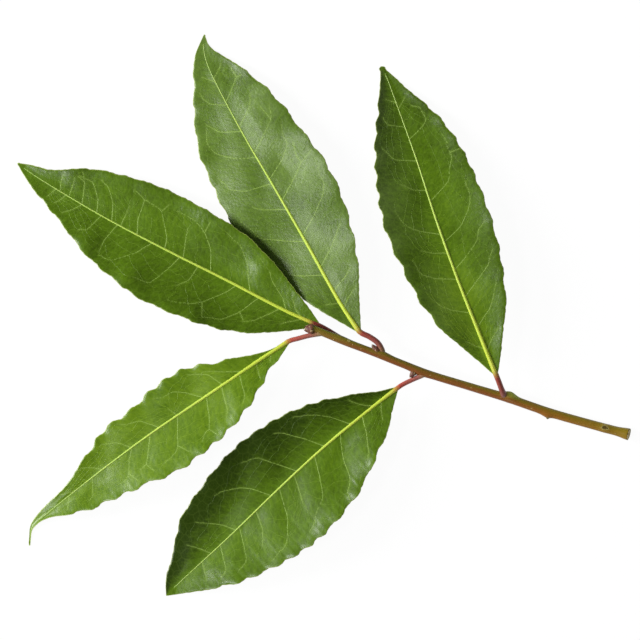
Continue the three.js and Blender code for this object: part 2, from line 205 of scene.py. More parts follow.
# %% Leaf dimensions
LEAVES = {
    "upper_left": {
        "stalk": [[6.3, -5.6, 7.7], [5.2, -4.7, 7.1], [2.4, -2.9, 6.5]],
        "stalk_radius": 0.66, "base": [-0.4, -1.4], "tip": [-81.8, 42.4],
        "bow": [0.75, 1.05, 1.6, 1.75, 1.0, 0.5],
        "half_width": (
            [3.5, 6.3, 11.1, 13.6, 14.6, 14.9, 13.3, 11.1, 7.3, 4.0, 1.9],
            [3.4, 5.8, 10.0, 13.0, 14.2, 14.7, 14.4, 12.6, 9.6, 3.9, 1.9],
        ),
        "rise": [6.4, 5.9, 5.3, 4.3, 2.4, -0.3],
        "roll": [0, 0.08, 0.13, 0.13, 0.1, 0],
        "fold": ([1.2, 1.6, 1.5, 0.9], [1.6, 2.1, 1.8, 1.0]),
        "ruffle": ([0.2, 0.16], [0.12, 0.08]),
        "crests": (
            [0.17, 0.25, 0.32, 0.4, 0.5, 0.56, 0.63, 0.7, 0.78, 0.85, 0.91],
            [0.2, 0.3, 0.37, 0.45, 0.51, 0.57, 0.64, 0.7, 0.76, 0.83],
        ),
        "tone_and_shade": ((0.34, 0.46, 0.44), (0.36, 0.4, 0.36)), "leathery_and_sheen": (0.6, 0.6, 0.6),
        "blush": 0.0, "flush": 2.0, "blunt": 0.4,
        "puckers": [
            (66, 8.2, 3.6, 0.85), (50.6, 11.3, 3.8, 0.95), (31, 12, 2.6, 0.25), (77.5, -5.5, 3.5, 0.35),
            (20.6, -8.3, 3.4, 0.5),
        ],
        "veins": [
            [(35, 0), (38, -38), (42, -62), (47, -73), (53, -72)], [(42, -62), (42, -86)],
            [(22, 0), (25, -34), (26.5, -52), (31, -75), (36, -82)],
            [(10, 0), (13, -39), (18, -59), (20, -74), (25, -84)], [(5, 0), (8, -30), (10, -60)],
            [(44, 0), (46, -35), (47, -54)], [(50, 0), (51, -20), (56, -59), (61, -66)],
            [(56, -59), (55, -77)], [(59, 0), (61, -27), (62, -65), (66, -77)], [(62, -65), (61, -67)],
            [(64.5, 0), (65, -43)], [(67.5, 0), (69.5, -32), (73, -64), (76, -74)],
            [(72.5, 0), (74, -28), (78, -64), (82, -72)], [(77.5, 0), (79, -36), (80, -59), (82, -88)],
            [(80, -59), (82.5, -70)], [(82, 0), (82.5, -35), (83, -61)], [(85, 0), (86, -33), (86.5, -67)],
            [(4.5, 0), (7, 35), (10, 60)], [(12, 0), (14, 30), (17, 60), (20, 72)],
            [(19, 0), (22, 52), (26, 79), (31, 86)], [(22, 52), (20, 68)],
            [(26.5, 0), (28.5, 25), (33, 58), (36, 72), (42, 80)], [(33, 58), (31, 85)],
            [(39, 0), (39.5, 31), (42, 50)], [(45, 0), (46, 23), (49, 65), (54, 74)],
            [(54, 0), (55.6, 16), (57, 33), (62, 71), (66, 80)], [(65.5, 0), (66.7, 44), (66.5, 76)],
            [(71, 0), (72.7, 52), (75, 70)], [(77.5, 0), (78.6, 21), (81.5, 70)],
            [(83, 0), (83.8, 34), (85, 60)], [(86.5, 0), (87.6, 66)],
        ],
    },
    "upper_middle": {
        "stalk": [[16.7, -9.2, 6.5], [16.5, -7.9, 7.0], [15.5, -6.1, 7.4], [13.3, -4.5, 7.6]],
        "stalk_radius": 0.76, "base": [10.5, -3.0], "tip": [-31.3, 77.2],
        "bow": [0.95, 1.5, 2.3, 3.15, 3.1, 2.0],
        "half_width": (
            [2.9, 5.3, 9.6, 12.7, 14.5, 14.9, 14.0, 12.7, 9.2, 4.8, 2.5],
            [3.2, 5.7, 10.1, 12.9, 14.8, 15.3, 14.3, 13.1, 10.5, 5.8, 1.9],
        ),
        "rise": [7.6, 6.6, 4.9, 3.4, 1.7, -0.2],
        "roll": [-0.1, -0.18, -0.2, -0.2, -0.17, -0.1],
        "fold": ([0.5, 0.7, 0.6, 0.4], [0.7, 0.9, 0.8, 0.5]),
        "ruffle": ([0.25, 0.12], [0.28, 0.14]),
        "crests": (
            [0.15, 0.23, 0.31, 0.38, 0.46, 0.54, 0.6, 0.68, 0.775, 0.84, 0.91],
            [0.175, 0.25, 0.33, 0.42, 0.51, 0.59, 0.69, 0.77, 0.85],
        ),
        # a leathery value of 1 all over lays the pale painted sheen, in patches, on the whole of this leaf
        "tone_and_shade": ((0.42, 0.4, 0.38), (0.46, 0.44, 0.42)), "leathery_and_sheen": (1.0, 1.0, 1.0),
        "blush": 0.45, "flush": 0, "blunt": 0.4,
        "puckers": [
            (62.2, -17.6, 6, -0.8), (47.5, -17.1, 3.5, -0.45), (37.4, -17.2, 3.5, -0.45),
            (30.8, -15.6, 3, -0.35), (19.8, -10.7, 3, -0.3), (81, -5.5, 3, -0.3), (61.2, 14, 4, 0.5),
        ],
        "veins": [
            [(8, 0), (12, -79)], [(14, 0), (16.5, -58), (18, -70)],
            [(22, 0), (26, -44), (29, -68), (31, -80)],
            [(33, 0), (37, -42), (41, -68), (44, -79), (50, -84)],
            [(45, 0), (49, -35), (52.5, -63), (54.5, -94)], [(52.5, -63), (56, -66), (59, -71)],
            [(52.5, 0), (56, -39), (59.5, -62), (61.5, -64), (66, -77)],
            [(61.5, 0), (64, -26), (68, -61), (72.5, -81)], [(68, -61), (73, -62)],
            [(70.5, 0), (74.5, -42), (78, -60)], [(79, 0), (84, -61), (84, -77)], [(84, -61), (88, -76)],
            [(87, 0), (90, -60)], [(10, 0), (11.6, 64)], [(19.5, 0), (22, 46), (24.5, 73), (30, 82)],
            [(31, 0), (34, 36), (38, 70), (45, 83)], [(42, 0), (45, 35), (47, 50)],
            [(51, 0), (52.5, 47), (55.5, 75), (60, 84)],
            [(60, 0), (62.7, 38), (66, 64), (71, 79), (74.5, 73)], [(69, 0), (72, 45), (76, 70)],
            [(78, 0), (81, 50), (85, 72)], [(86, 0), (89, 55)],
        ],
    },
    "right": {
        "stalk": [[49.6, -20.4, 4.1], [49.35, -19.7, 5.2], [48.8, -18.4, 6.2], [48.0, -16.3, 7.0]],
        "stalk_radius": 0.74, "base": [47.3, -14.6], "tip": [16.5, 68.6],
        "bow": [0.3, 0.75, 0.6, -0.15, -0.4, -0.4],
        "half_width": (
            [2.8, 5.2, 9.5, 11.9, 13.0, 13.9, 13.4, 11.6, 8.6, 4.3, 2.0],
            [3.2, 5.5, 9.9, 12.4, 13.8, 14.1, 13.5, 12.1, 9.3, 4.4, 1.8],
        ),
        "rise": [7.6, 8.1, 7.3, 5.3, 2.4, -0.3],
        "roll": [0, 0.06, 0.08, 0.08, 0.06, 0],
        "fold": ([1.6, 2.2, 2.1, 1.2], [1.5, 2.4, 2.3, 1.2]),
        "ruffle": ([0.35, 0.16], [0.25, 0.14]),
        "crests": (
            [0.2, 0.28, 0.37, 0.445, 0.54, 0.605, 0.66, 0.715, 0.78, 0.84, 0.89],
            [0.21, 0.29, 0.36, 0.45, 0.53, 0.6, 0.66, 0.72, 0.79, 0.85],
        ),
        # this leaf's left half is painted: lighter by the base as painted sheen, darker by the tip as painted
        # shade
        "tone_and_shade": ((0.7, 0.74, 0.34), (-0.1, 0.32, 0.28)), "leathery_and_sheen": (1.0, 0.6, 0.6),
        "blush": 0.35, "flush": 0, "blunt": 0.95,
        "puckers": [
            (79.7, -5.2, 2.5, 0.3), (70.1, -10.3, 2.5, 0.3), (50.3, -16, 3, 0.35), (43.4, -15.8, 2.5, 0.3),
            (74.5, 1.6, 2.5, 0.2),
        ],
        "veins": [
            [(7, 0), (10, -40), (13, -79)], [(15, 0), (19, -49), (21, -61), (26, -82)],
            [(25, 0), (28.6, -38), (32, -72), (36, -85)],
            [(34, 0), (36, -25), (40, -63), (43, -71), (45, -86)],
            [(43, 0), (45.7, -39), (50, -67), (55, -78), (58, -79)],
            [(56, 0), (58.3, -28), (60, -47), (66, -69), (68, -74), (74, -79)], [(68, -74), (68, -97)],
            [(76, 0), (78, -39), (79.4, -58), (81, -69), (84, -74), (85.5, -50)], [(86, 0), (88.5, -50)],
            [(8, 0), (10, 40), (12.5, 65)], [(20, 0), (23, 47), (25, 63), (28.5, 72)],
            [(31, 0), (33.5, 45), (36, 66), (41, 76)], [(39.5, 0), (41, 30), (43, 50)],
            [(45.5, 0), (48.5, 37), (51, 56), (57, 73)], [(59.5, 0), (61.3, 27), (64, 50)],
            [(69, 0), (71.7, 49), (76, 79)], [(80, 0), (82.4, 54), (85, 70)], [(88, 0), (90, 50)],
        ],
    },
    "lower_left": {
        "stalk": [[0.9, -3.4, 8.1], [-1.2, -3.85, 8.3], [-3.4, -4.3, 8.3], [-6.0, -5.0, 8.2]],
        "stalk_radius": 0.66, "base": [-8.6, -5.8], "tip": [-78.6, -61.0],
        "bow": [-0.8, -2.1, -3.4, -3.9, -3.8, -3.3],
        "half_width": (
            [2.3, 3.9, 8.2, 10.9, 12.1, 12.4, 10.3, 8.3, 5.9, 1.2, 0.4],
            [0.7, 2.0, 5.7, 9.5, 9.8, 8.4, 8.3, 5.4, 2.7, 1.8, 0.7],
        ),
        "rise": [8.0, 8.0, 6.6, 4.7, 2.2, -0.2],
        "roll": [0, 0.05, 0.07, 0.07, 0.08, 0.6],
        "fold": ([1.3, 2.0, 1.8, 0.7], [0.6, 0.8, 0.8, 0.4]),
        "ruffle": ([0.4, 0.2], [0.4, 0.16]),
        "crests": (
            [0.06, 0.135, 0.2, 0.27, 0.34, 0.4, 0.47, 0.55, 0.64, 0.7, 0.775, 0.85],
            [0.18, 0.25, 0.31, 0.367, 0.43, 0.5, 0.575, 0.636, 0.7],
        ),
        "tone_and_shade": ((0.6, 0.64, 0.62), (0.54, 0.62, 0.54)), "leathery_and_sheen": (0.35, 0.35, 0.35),
        "blush": 0.9, "flush": 0, "blunt": 0.4,
        "puckers": [
            (9.6, 7.2, 2.5, 0.35), (27.4, 12.4, 3, 0.45), (36.5, 13.8, 3, 0.45), (65.7, 8.3, 3, 0.35),
        ],
        "veins": [
            [(16, 0), (19, -30), (22, -59), (26, -70)], [(23.5, 0), (25, -51), (27.5, -74), (30, -79)],
            [(30.5, 0), (34, -42), (36.5, -57), (42.5, -74)], [(40, 0), (41, -30)],
            [(46.5, 0), (50, -51), (56, -86)], [(57, 0), (60, -47), (63.5, -69)], [(68, 0), (73, -81)],
            [(79, 0), (83, -70)], [(6, 0), (8, 60)], [(11.5, 0), (13.5, 75)],
            [(17.5, 0), (20, 61), (22, 80)], [(24, 0), (27, 58), (29, 75)],
            [(29.5, 0), (32.5, 42), (35, 66), (34, 87)], [(35, 66), (39, 78)],
            [(40, 0), (43, 30), (45.5, 55), (50, 70), (53, 73)], [(45.5, 55), (44, 81)],
            [(50, 0), (56.5, 52), (55.8, 76)], [(56.5, 52), (59, 62)],
            [(57, 0), (60, 25), (62.5, 52), (66, 68)], [(62.5, 52), (61.5, 84)],
            [(72, 0), (75, 53), (77, 63)], [(81, 0), (84, 60)],
        ],
    },
    "lower_middle": {
        "stalk": [[28.2, -14.5, 5.8], [26.6, -15.3, 5.9], [24.0, -16.5, 6.1], [22.2, -17.4, 6.3]],
        "stalk_radius": 0.63, "base": [20.6, -18.5], "tip": [-41.6, -74.5],
        "bow": [-0.65, -1.35, -1.15, -0.5, -0.25, -0.15],
        "half_width": (
            [3.6, 6.8, 11.2, 14.9, 16.6, 17.1, 16.0, 13.6, 10.6, 5.7, 2.5],
            [2.5, 5.1, 9.8, 13.1, 15.1, 16.2, 15.9, 14.6, 12.4, 6.5, 3.6],
        ),
        "rise": [6.4, 5.9, 4.8, 3.3, 1.5, -0.3],
        "roll": [0, 0.05, 0.07, 0.07, 0.06, 0],
        "fold": ([1.8, 2.8, 2.6, 1.3], [2.2, 3.0, 2.7, 1.4]),
        "ruffle": ([0.32, 0.16], [0.22, 0.12]),
        "crests": (
            [0.14, 0.21, 0.32, 0.41, 0.485, 0.54, 0.6, 0.66, 0.735, 0.8, 0.87],
            [0.125, 0.197, 0.245, 0.31, 0.37, 0.43, 0.49, 0.56, 0.64, 0.72, 0.8, 0.86],
        ),
        # the dark right half is painted shade, for the half that turns away from the lamps
        "tone_and_shade": ((0.42, 0.44, 0.05), (0.42, 0.54, -0.45)), "leathery_and_sheen": (0.25, 0.25, 0.25),
        "blush": 1.0, "flush": 0, "blunt": 0.4,
        "puckers": [
            (7, 7.9, 2.5, 0.35), (17, 14.3, 3.5, 0.5), (26.9, 16.6, 3.5, 0.5), (35.2, 17.7, 3, 0.4),
            (70.8, -5.1, 3, 0.3),
        ],
        "veins": [
            [(9, 0), (12, -40), (14, -79)], [(18.5, 0), (22, -51), (27, -79), (31, -86)],
            [(29.5, 0), (33, -40), (36.5, -68), (39, -80)], [(41.5, 0), (46, -44), (48, -61), (53, -75)],
            [(53, 0), (56, -29), (59, -48), (63, -62), (66.5, -71)], [(69, 0), (71, -23), (77, -68)],
            [(80, 0), (84, -60)], [(6, 0), (10, 64)], [(14, 0), (17, 50), (20, 74), (22, 82)],
            [(23, 0), (28, 43), (30, 70), (34, 84), (35, 96)],
            [(34, 0), (37.5, 34), (41, 58), (48, 74), (51.5, 85)], [(43, 0), (45.5, 28), (47, 42)],
            [(49.5, 0), (53.5, 40), (58, 68), (62, 80), (67, 85)], [(60, 0), (62.5, 33), (66, 53)],
            [(67.5, 0), (72.5, 57), (77, 75)], [(76, 0), (80, 55), (83, 72)], [(84, 0), (87, 60)],
        ],
    },
}
print("leaves:", {name: len(leaf["veins"]) for name, leaf in LEAVES.items()}, "side veins")

# %% [markdown]
# ## The shoot's own dimensions
#
# The shoot runs from its cut end to its tip. Its swellings are the nodes where leaves stand now, and
# the scars of leaves that have dropped. Facing is in degrees from straight up towards its left. The
# soft tip turns aside a little, so that it lies over the foot of the first leaf.

# %% Shoot dimensions
STEM_LINE = [  # x, y, z and radius
    [83.4, -30.9, 1.6, 1.25],
    [72.9, -28.1, 1.8, 1.2],
    [62.1, -25.0, 2.5, 1.18],
    [51.3, -21.3, 3.5, 1.15],
    [40.5, -18.0, 4.6, 1.05],
    [29.7, -14.7, 5.6, 1.02],
    [21.6, -11.6, 6.4, 1.02],
    [13.5, -8.4, 7.1, 0.98],
    [5.4, -5.4, 7.8, 1.0],
    [-1.0, -3.3, 8.4, 0.95],
]
TIP_BEND = {"from": 0.85, "power": 1.5, "by": [-1.2, 1.2, 0.0]}
CUT_FLARE = {"height": 0.35, "length": 0.022}
SWELLINGS = [  # station, half-length as a share of the shoot, height, facing
    (0.068, 0.016, 0.2, 10), (0.228, 0.014, 0.4, 95), (0.338, 0.018, 0.9, -60),
    (0.59, 0.03, 0.3, 80), (0.735, 0.03, 0.35, -80), (0.885, 0.03, 0.2, -90),
]


def directions_across(line):
    """For each point of a line, the directions to its left and up."""
    ahead = np.gradient(line, axis=0)
    ahead /= np.linalg.norm(ahead, axis=1, keepdims=True)
    left = np.stack([-ahead[:, 1], ahead[:, 0], np.zeros(len(line))], axis=1)
    left /= np.linalg.norm(left, axis=1, keepdims=True)
    return left, np.cross(ahead, left)


def stem_radius(share, turn):
    """Radius of the shoot at a share of its length, in the direction `turn` (radians from up)."""
    stations = np.linspace(0, 1, len(STEM_LINE))
    radius = smooth_at(stations, [point[3] for point in STEM_LINE], share)
    radius = radius + CUT_FLARE["height"] * hump(share / CUT_FLARE["length"])
    for at, half, height, facing in SWELLINGS:
        around = np.maximum(0, np.cos(turn - math.radians(facing)))
        radius = radius + height * hump((share - at) / half) * around
    return radius


# %% [markdown]
# The leaves and the shoot are laid out from a point beside the shoot's tip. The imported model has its
# origin in the middle of the sprig's footprint instead, so everything moves by one plan distance,
# which is read off the frame: the shoot's own middle here against the middle of its box there.

# %% From the layout to the frame
STEM_RINGS = 420
STEM_SIDES = 48
stem_share = np.linspace(0, 1, STEM_RINGS)
stem_turn = np.arange(STEM_SIDES) / STEM_SIDES * 2 * math.pi
stem_radii = stem_radius(stem_share[:, None], stem_turn[None, :])


def rings_round(centre, radii):
    """Rings of points round the shoot's centre line."""
    left, up = directions_across(centre)
    aside = (radii * np.sin(stem_turn))[..., None] * left[:, None]
    return centre[:, None] + aside + (radii * np.cos(stem_turn))[..., None] * up[:, None]


stem_centre = smooth_line([point[:3] for point in STEM_LINE], STEM_RINGS)
stem_rings = rings_round(stem_centre, stem_radii)
box_low, box_high = (np.array(corner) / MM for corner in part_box("stem"))
here_low, here_high = stem_rings.min(axis=(0, 1)), stem_rings.max(axis=(0, 1))
SHIFT = ((box_low + box_high) - (here_low + here_high)) / 2
SHIFT[2] = 0
bend = np.clip((stem_share - TIP_BEND["from"]) / (1 - TIP_BEND["from"]), 0, 1) ** TIP_BEND["power"]
stem_centre = stem_centre + bend[:, None] * np.array(TIP_BEND["by"])
print("layout to frame, mm:", SHIFT.round(2))
print("shoot here and in the frame, mm:", (here_high - here_low).round(2), (box_high - box_low).round(2))

# %% [markdown]
# ## The surface of a blade
#
# A bay blade isn't flat. It hangs off its midrib in a shallow gutter, it droops towards the tip, and
# its edge is longer than its middle, so it stands in small waves. The edge itself has small uneven
# teeth and the end is rounded. Cloth simulation could give such a sheet, but it would move the
# outline. A formula in (t, w) keeps the outline where the frame has it and is easy to read.

# %% Where the midrib runs, and how the edge waves
BLADE_THICKNESS = 0.32
THINNEST = 0.24
LEAST_HALF_WIDTH = 0.05
CRENULATION = 0.14  # mm that the small teeth of the edge stand out and in
TOOTH_LENGTHS = (0.018, 0.027, 0.041)  # as shares of the blade
TOOTH_SHIFT, SHIFT_PACE = 1.5, 9  # how far, and how fast, their spacing wanders in radians
ROUNDED_FROM = 0.5  # share of the blade from which its end may be rounded
ROUND_END_INSIDE = 0.9  # share of the rounded end's width that a sharper tip fills at least
MIDRIB_CALM, BASE_CALM, TIP_CALM = 3, 12, 8  # how steeply the relief rises from each of them


def chord_of(leaf):
    """A blade's base in plan, the way from there to its tip, and the direction to its left."""
    base, tip = np.array(leaf["base"]), np.array(leaf["tip"])
    chord = tip - base
    return base, chord, np.array([-chord[1], chord[0]]) / np.linalg.norm(chord)


for number, leaf in enumerate(LEAVES.values()):
    leaf["seed"] = 40 + number
    leaf["length"] = float(np.linalg.norm(chord_of(leaf)[1]))
print("blade lengths, mm:", [round(leaf["length"], 1) for leaf in LEAVES.values()])


def midrib_point(leaf, t):
    """The midrib's points, in layout millimetres, at shares t of the blade."""
    base, chord, left = chord_of(leaf)
    bow = smooth_at(BOW_AT, [0, *leaf["bow"], 0], t)
    plan = base + np.multiply.outer(t, chord) + np.multiply.outer(bow, left)
    return np.concatenate([plan, smooth_at(HEIGHT_AT, leaf["rise"], t)[..., None]], axis=-1)


def ruffle_wave(crests, t):
    """A wave that is 1 at each crest and -1 midway between two, and dies out past them."""
    c = np.array(crests)
    i = np.clip(np.searchsorted(c, t, side="right") - 1, 0, len(c) - 2)
    inside = np.cos(2 * math.pi * (t - c[i]) / (c[i + 1] - c[i]))
    before = np.maximum(0, 1 - (c[0] - t) / (c[1] - c[0]))
    after = np.maximum(0, 1 - (t - c[-1]) / (c[-1] - c[-2]))
    return np.where(t <= c[0], before, np.where(t >= c[-1], after, inside))


def crenulation(t, seed):
    """How far the edge stands out or in at share t, with rounded teeth and sharp notches."""
    rng = np.random.default_rng(seed)
    total = np.zeros(np.shape(t))
    for length in TOOTH_LENGTHS:
        phase, drift = rng.uniform(0, 2 * math.pi, 2)
        turn = 2 * math.pi * t / length + phase + TOOTH_SHIFT * np.sin(SHIFT_PACE * t + drift)
        total += 2 * np.abs(np.sin(turn / 2)) - 4 / math.pi
    return CRENULATION * total / len(TOOTH_LENGTHS)


def half_blade(leaf, side, t):
    """The left (1) or right (-1) half: its width in plan, and how far its ruffle and fold rise."""
    half = 0 if side > 0 else 1
    out, up = leaf["ruffle"][half]
    width = smooth_at(WIDTH_AT, [BASE_HALF_WIDTH, *leaf["half_width"][half], TIP_HALF_WIDTH], t)
    full = np.minimum(1, width / RUFFLE_FULL_WIDTH)
    wave = ruffle_wave(leaf["crests"][half], t) * full
    teeth = crenulation(t, leaf["seed"] + side) * full
    from_tip = np.clip((1 - t) * leaf["length"], 0, leaf["blunt"])
    round_end = np.sqrt(from_tip * (2 * leaf["blunt"] - from_tip)) * (t > ROUNDED_FROM)
    width = np.where(
        from_tip < leaf["blunt"],
        np.maximum(round_end, LEAST_HALF_WIDTH), np.maximum(width, round_end * ROUND_END_INSIDE),
    )
    return width + out * wave + teeth, up * wave, smooth_at(HEIGHT_AT, [0, *leaf["fold"][half], 0], t)


# %% Any point of a blade
def swell(along, across, seed, low=10, high=28, slope=0.03, waves=9):
    """A calm, uneven surface: plane waves of random length (mm) and direction, of equal slope."""
    rng = np.random.default_rng(seed)
    height = np.zeros(np.broadcast(along, across).shape)
    for length in rng.uniform(low, high, waves):
        heading, phase = rng.uniform(0, 2 * math.pi, 2)
        path = along * math.cos(heading) + across * math.sin(heading)
        height += slope * length / (2 * math.pi) * np.sin(2 * math.pi * path / length + phase)
    return height


def blade_point(leaf, t, w):
    """Points of the blade's middle layer in layout mm, with their distances along and across it."""
    halves = [half_blade(leaf, side, t) for side in (1, -1)]
    width, lift, fold = (np.where(w > 0, on_left, on_right) for on_left, on_right in zip(*halves))
    share, along, across = np.abs(w), t * leaf["length"], w * width
    height = smooth_at(HEIGHT_AT, leaf["roll"], t) * across
    height += fold * share**CUP_POWER
    height += lift * share**RUFFLE_POWER
    relief = swell(along, across, leaf["seed"])
    for at, aside, size, rise in leaf["puckers"]:
        relief = relief + rise * np.exp(-((along - at) ** 2 + (across - aside) ** 2) / size**2)
    # the relief dies out at the midrib, the base and the tip
    calm = np.clip(share * MIDRIB_CALM, 0, 1) * np.clip(t * BASE_CALM, 0, 1)
    calm = calm * np.clip((1 - t) * TIP_CALM, 0, 1)
    point = midrib_point(leaf, t)
    point[..., :2] += across[..., None] * chord_of(leaf)[2]
    point[..., 2] += height + relief * calm
    return point, along, across


def tone_and_shade_at(leaf, t, w):
    """How light the green is at a place on the blade, painted shade and painted sheen included."""
    by_base, by_tip = (np.interp(w, [-1, 0, 1], tones[::-1]) for tones in leaf["tone_and_shade"])
    return by_base + (by_tip - by_base) * t


# %% [markdown]
# ## Side veins as lines
#
# The side veins leave the midrib at a wide angle, run nearly straight from one turn to the next, and
# fork near the edge. Thin crooked veins join each one to its neighbour. The same lines serve twice:
# they become thin raised ridges, and the blade dips towards them so that it looks quilted.

# %% Vein lines in (t, w)
QUILT = 0.04  # mm that the blade rises between veins
DIP_REACH = 1.6  # mm from a vein to where the blade has risen
EDGE_QUILT = 6  # how steeply the quilting rises from the edge, over shares of the half-width
RIB_QUILT = 1.5  # mm from the midrib to where the quilting is full
VEIN_POINTS = 22
VEIN_ROUNDING = 0.25  # 0 turns sharply at each listed point, 1 runs smoothly through it
FINE_POINTS = 16
FINE_LINKS = ((1.0, 0.8), (0.78, 0.6), (0.55, 0.42), (0.32, 0.24))  # shares of two neighbours
FINE_TURNS = 6
FINE_CROOK = np.array([0.003, 0.02])  # how crooked the joining veins are, in t and in w
FINE_BULGE = 0.07  # how far the outermost of them bow outwards, in w
FINE_REACH = 0.97  # as far out as they go
SPUR_LENGTHS = (0.2, 0.45)  # of the short ones between two side veins
SPUR_LEAN = 0.08  # how far along the blade they run for each half-width outwards
AT_MIDRIB = 0.01  # a vein that starts nearer than this, in w, leaves the midrib and no other vein


def vein_lines(leaf):
    """Each side vein's line of (t, w) points."""
    lines = []
    for turns in leaf["veins"]:
        turns = np.array(turns) / 100
        straight, smooth = straight_line(turns, VEIN_POINTS), smooth_line(turns, VEIN_POINTS)
        lines.append(straight * (1 - VEIN_ROUNDING) + smooth * VEIN_ROUNDING)
    return lines


def crooked(rng):
    """Steps aside, in t and w, of a thin vein that changes its course a few times."""
    return straight_line(rng.normal(0, 1, (FINE_TURNS, 2)) * FINE_CROOK, FINE_POINTS)


def fine_veins(leaf):
    """Thin veins that join each side vein to the next one, and short ones between them."""
    rng = np.random.default_rng(leaf["seed"])
    share = np.linspace(0, 1, FINE_POINTS)[:, None]
    hang = np.sin(math.pi * share)
    lines = []
    for side in (1, -1):
        row = [line for line in vein_lines(leaf) if abs(line[0, 1]) < AT_MIDRIB and line[-1, 1] * side > 0]
        row.sort(key=lambda line: line[0, 0])
        for near, far in zip(row, row[1:]):
            for start, end in FINE_LINKS:
                a, b = (line[int(at * (VEIN_POINTS - 1))] for line, at in ((near, start), (far, end)))
                bulge = np.array([0, FINE_BULGE * side * start**3])
                lines.append(a + (b - a) * share + (bulge + crooked(rng)) * hang)
            middle = (near[0, 0] + far[0, 0]) / 2
            ahead = np.array([SPUR_LEAN, side]) * rng.uniform(*SPUR_LENGTHS)
            lines.append(np.array([middle, 0]) + ahead * share + crooked(rng) * hang)
    return [np.clip(line, (0, -FINE_REACH), (1, FINE_REACH)) for line in lines]


def nearest_vein(leaf, along, across):
    """Distance in mm from each point of the blade to the nearest side vein."""
    if "vein_dots" not in leaf:
        lines = np.concatenate(vein_lines(leaf))
        leaf["vein_dots"] = np.stack(blade_point(leaf, lines[:, 0], lines[:, 1])[1:], axis=1)
    nearest = np.full(along.shape, 99.0)
    for a, c in leaf["vein_dots"]:
        nearest = np.minimum(nearest, np.hypot(along - a, across - c))
    return nearest


def quilting(w, across, vein):
    """How far the blade puffs up between its side veins, or dips at them."""
    inside = np.clip((1 - np.abs(w)) * EDGE_QUILT, 0, 1) * np.clip(np.abs(across) / RIB_QUILT, 0, 1)
    return QUILT * (1 - 2 * hump(vein / DIP_REACH)) * inside


# %% [markdown]
# ## The blade's mesh
#
# The blade is a closed sheet about a third of a millimetre thick: a grid of points on top, the same
# grid underneath, and a rim that joins them. Its columns follow the share of the half-width, so the
# edge is always a clean line of vertices. Solidify could thicken a single sheet too, but here
# the underside must never dip below the table. Each vertex keeps how far along and across the leaf
# it is, so that the venation in the material follows the leaf and not the world.

# %% Meshes and what their vertices know
def store(mesh, name, values):
    """Keeps one number or vector per vertex on the mesh, for its material to read."""
    kind, key = ("FLOAT_VECTOR", "vector") if np.ndim(values) == 2 else ("FLOAT", "value")
    layer = mesh.attributes.new(name, kind, "POINT")
    layer.data.foreach_set(key, np.ascontiguousarray(values, dtype=np.float32).ravel())


def mesh_from(name, points, edges, faces):
    """A smooth mesh from layout points in mm."""
    mesh = bpy.data.meshes.new(name)
    mesh.from_pydata(((np.asarray(points) + SHIFT) * MM).tolist(), edges, faces)
    mesh.polygons.foreach_set("use_smooth", np.ones(len(mesh.polygons), bool))
    mesh.update()
    return mesh


def sheet_faces(rows, columns):
    """Faces of the front, the back and the rim of a closed sheet whose two grids follow each other."""
    back = rows * columns
    index = np.arange(back).reshape(rows, columns)
    quads = np.stack([index[:-1, :-1], index[:-1, 1:], index[1:, 1:], index[1:, :-1]], axis=-1)
    quads = quads.reshape(-1, 4)
    rim = np.concatenate([index[0, :], index[1:, -1], index[-1, -2::-1], index[-2:0:-1, 0]])
    ahead = np.roll(rim, -1)
    return quads, quads + back, np.stack([rim, ahead, ahead + back, rim + back], axis=-1)


# %% Build a blade
GRID = 0.3  # mm between neighbouring points
CLOSER_TO_THE_BASE = 1.08
EDGE_THICKNESS = 0.45  # as a share of the blade's
THINNING = 14  # how steeply it gets thinner by the edge, over shares of the half-width
VEIN_LEAN = 0.5  # mm that side veins run towards the tip for each mm that they run outwards


def blade_mesh(name, leaf):
    rows = int(leaf["length"] / GRID)
    half = int(np.max(leaf["half_width"]) / GRID)
    t = np.linspace(0, 1, rows)[:, None] ** CLOSER_TO_THE_BASE
    w = np.linspace(-1, 1, 2 * half + 1)[None, :]
    t, w = np.broadcast_arrays(t, w)
    point, along, across = blade_point(leaf, t, w)
    vein = nearest_vein(leaf, along, across)
    point[..., 2] += quilting(w, across, vein)
    full = np.clip((1 - np.abs(w)) * THINNING, 0, 1)
    thick = BLADE_THICKNESS * (EDGE_THICKNESS + (1 - EDGE_THICKNESS) * full)
    low = np.maximum(0, point[..., 2] - thick / 2)
    high = np.maximum(low + np.minimum(thick, THINNEST), point[..., 2] + thick / 2)
    layers = [np.concatenate([point[..., :2], height[..., None]], axis=-1) for height in (high, low)]
    front, back, rim = sheet_faces(*w.shape)
    # w grows to the left, so the grid's own order faces down and the top is turned round
    faces = front[:, ::-1].tolist() + back.tolist() + rim.tolist()
    mesh = mesh_from(name, np.concatenate(layers).reshape(-1, 3), [], faces)
    for key, lean in (("blade_mm", 0), ("grain_mm", VEIN_LEAN)):
        flat = np.stack([along - lean * np.abs(across), across, np.zeros(w.shape)], axis=-1)
        store(mesh, key, np.tile(flat.reshape(-1, 3), (2, 1)))
    edge = np.minimum((1 - np.abs(w)) * np.abs(across / np.where(w == 0, 1, w)), (1 - t) * leaf["length"])
    for key, values in {
        "edge_mm": np.where(w == 0, 9, edge),
        "vein_mm": vein,
        "tone_and_shade": tone_and_shade_at(leaf, t, w),
        "leathery_and_sheen": np.interp(w, [-1, 0, 1], leaf["leathery_and_sheen"][::-1]),
    }.items():
        store(mesh, key, np.tile(values.ravel(), 2))
    finish = np.zeros(len(mesh.polygons), np.int32)
    finish[len(front):2 * len(front)] = 1
    mesh.polygons.foreach_set("material_index", finish)
    return mesh


# %% [markdown]
# ## Sweeping stalks, midribs and veins
#
# A leaf stalk runs on as the midrib, and the midrib gives off the side veins. All of them are thin
# tapering cords that follow a path, which is what Geometry Nodes are good at: a path with a
# radius on every point becomes a curve, and a flattened circle is swept along it. One tree serves
# every path on the sprig, and only its inputs change.

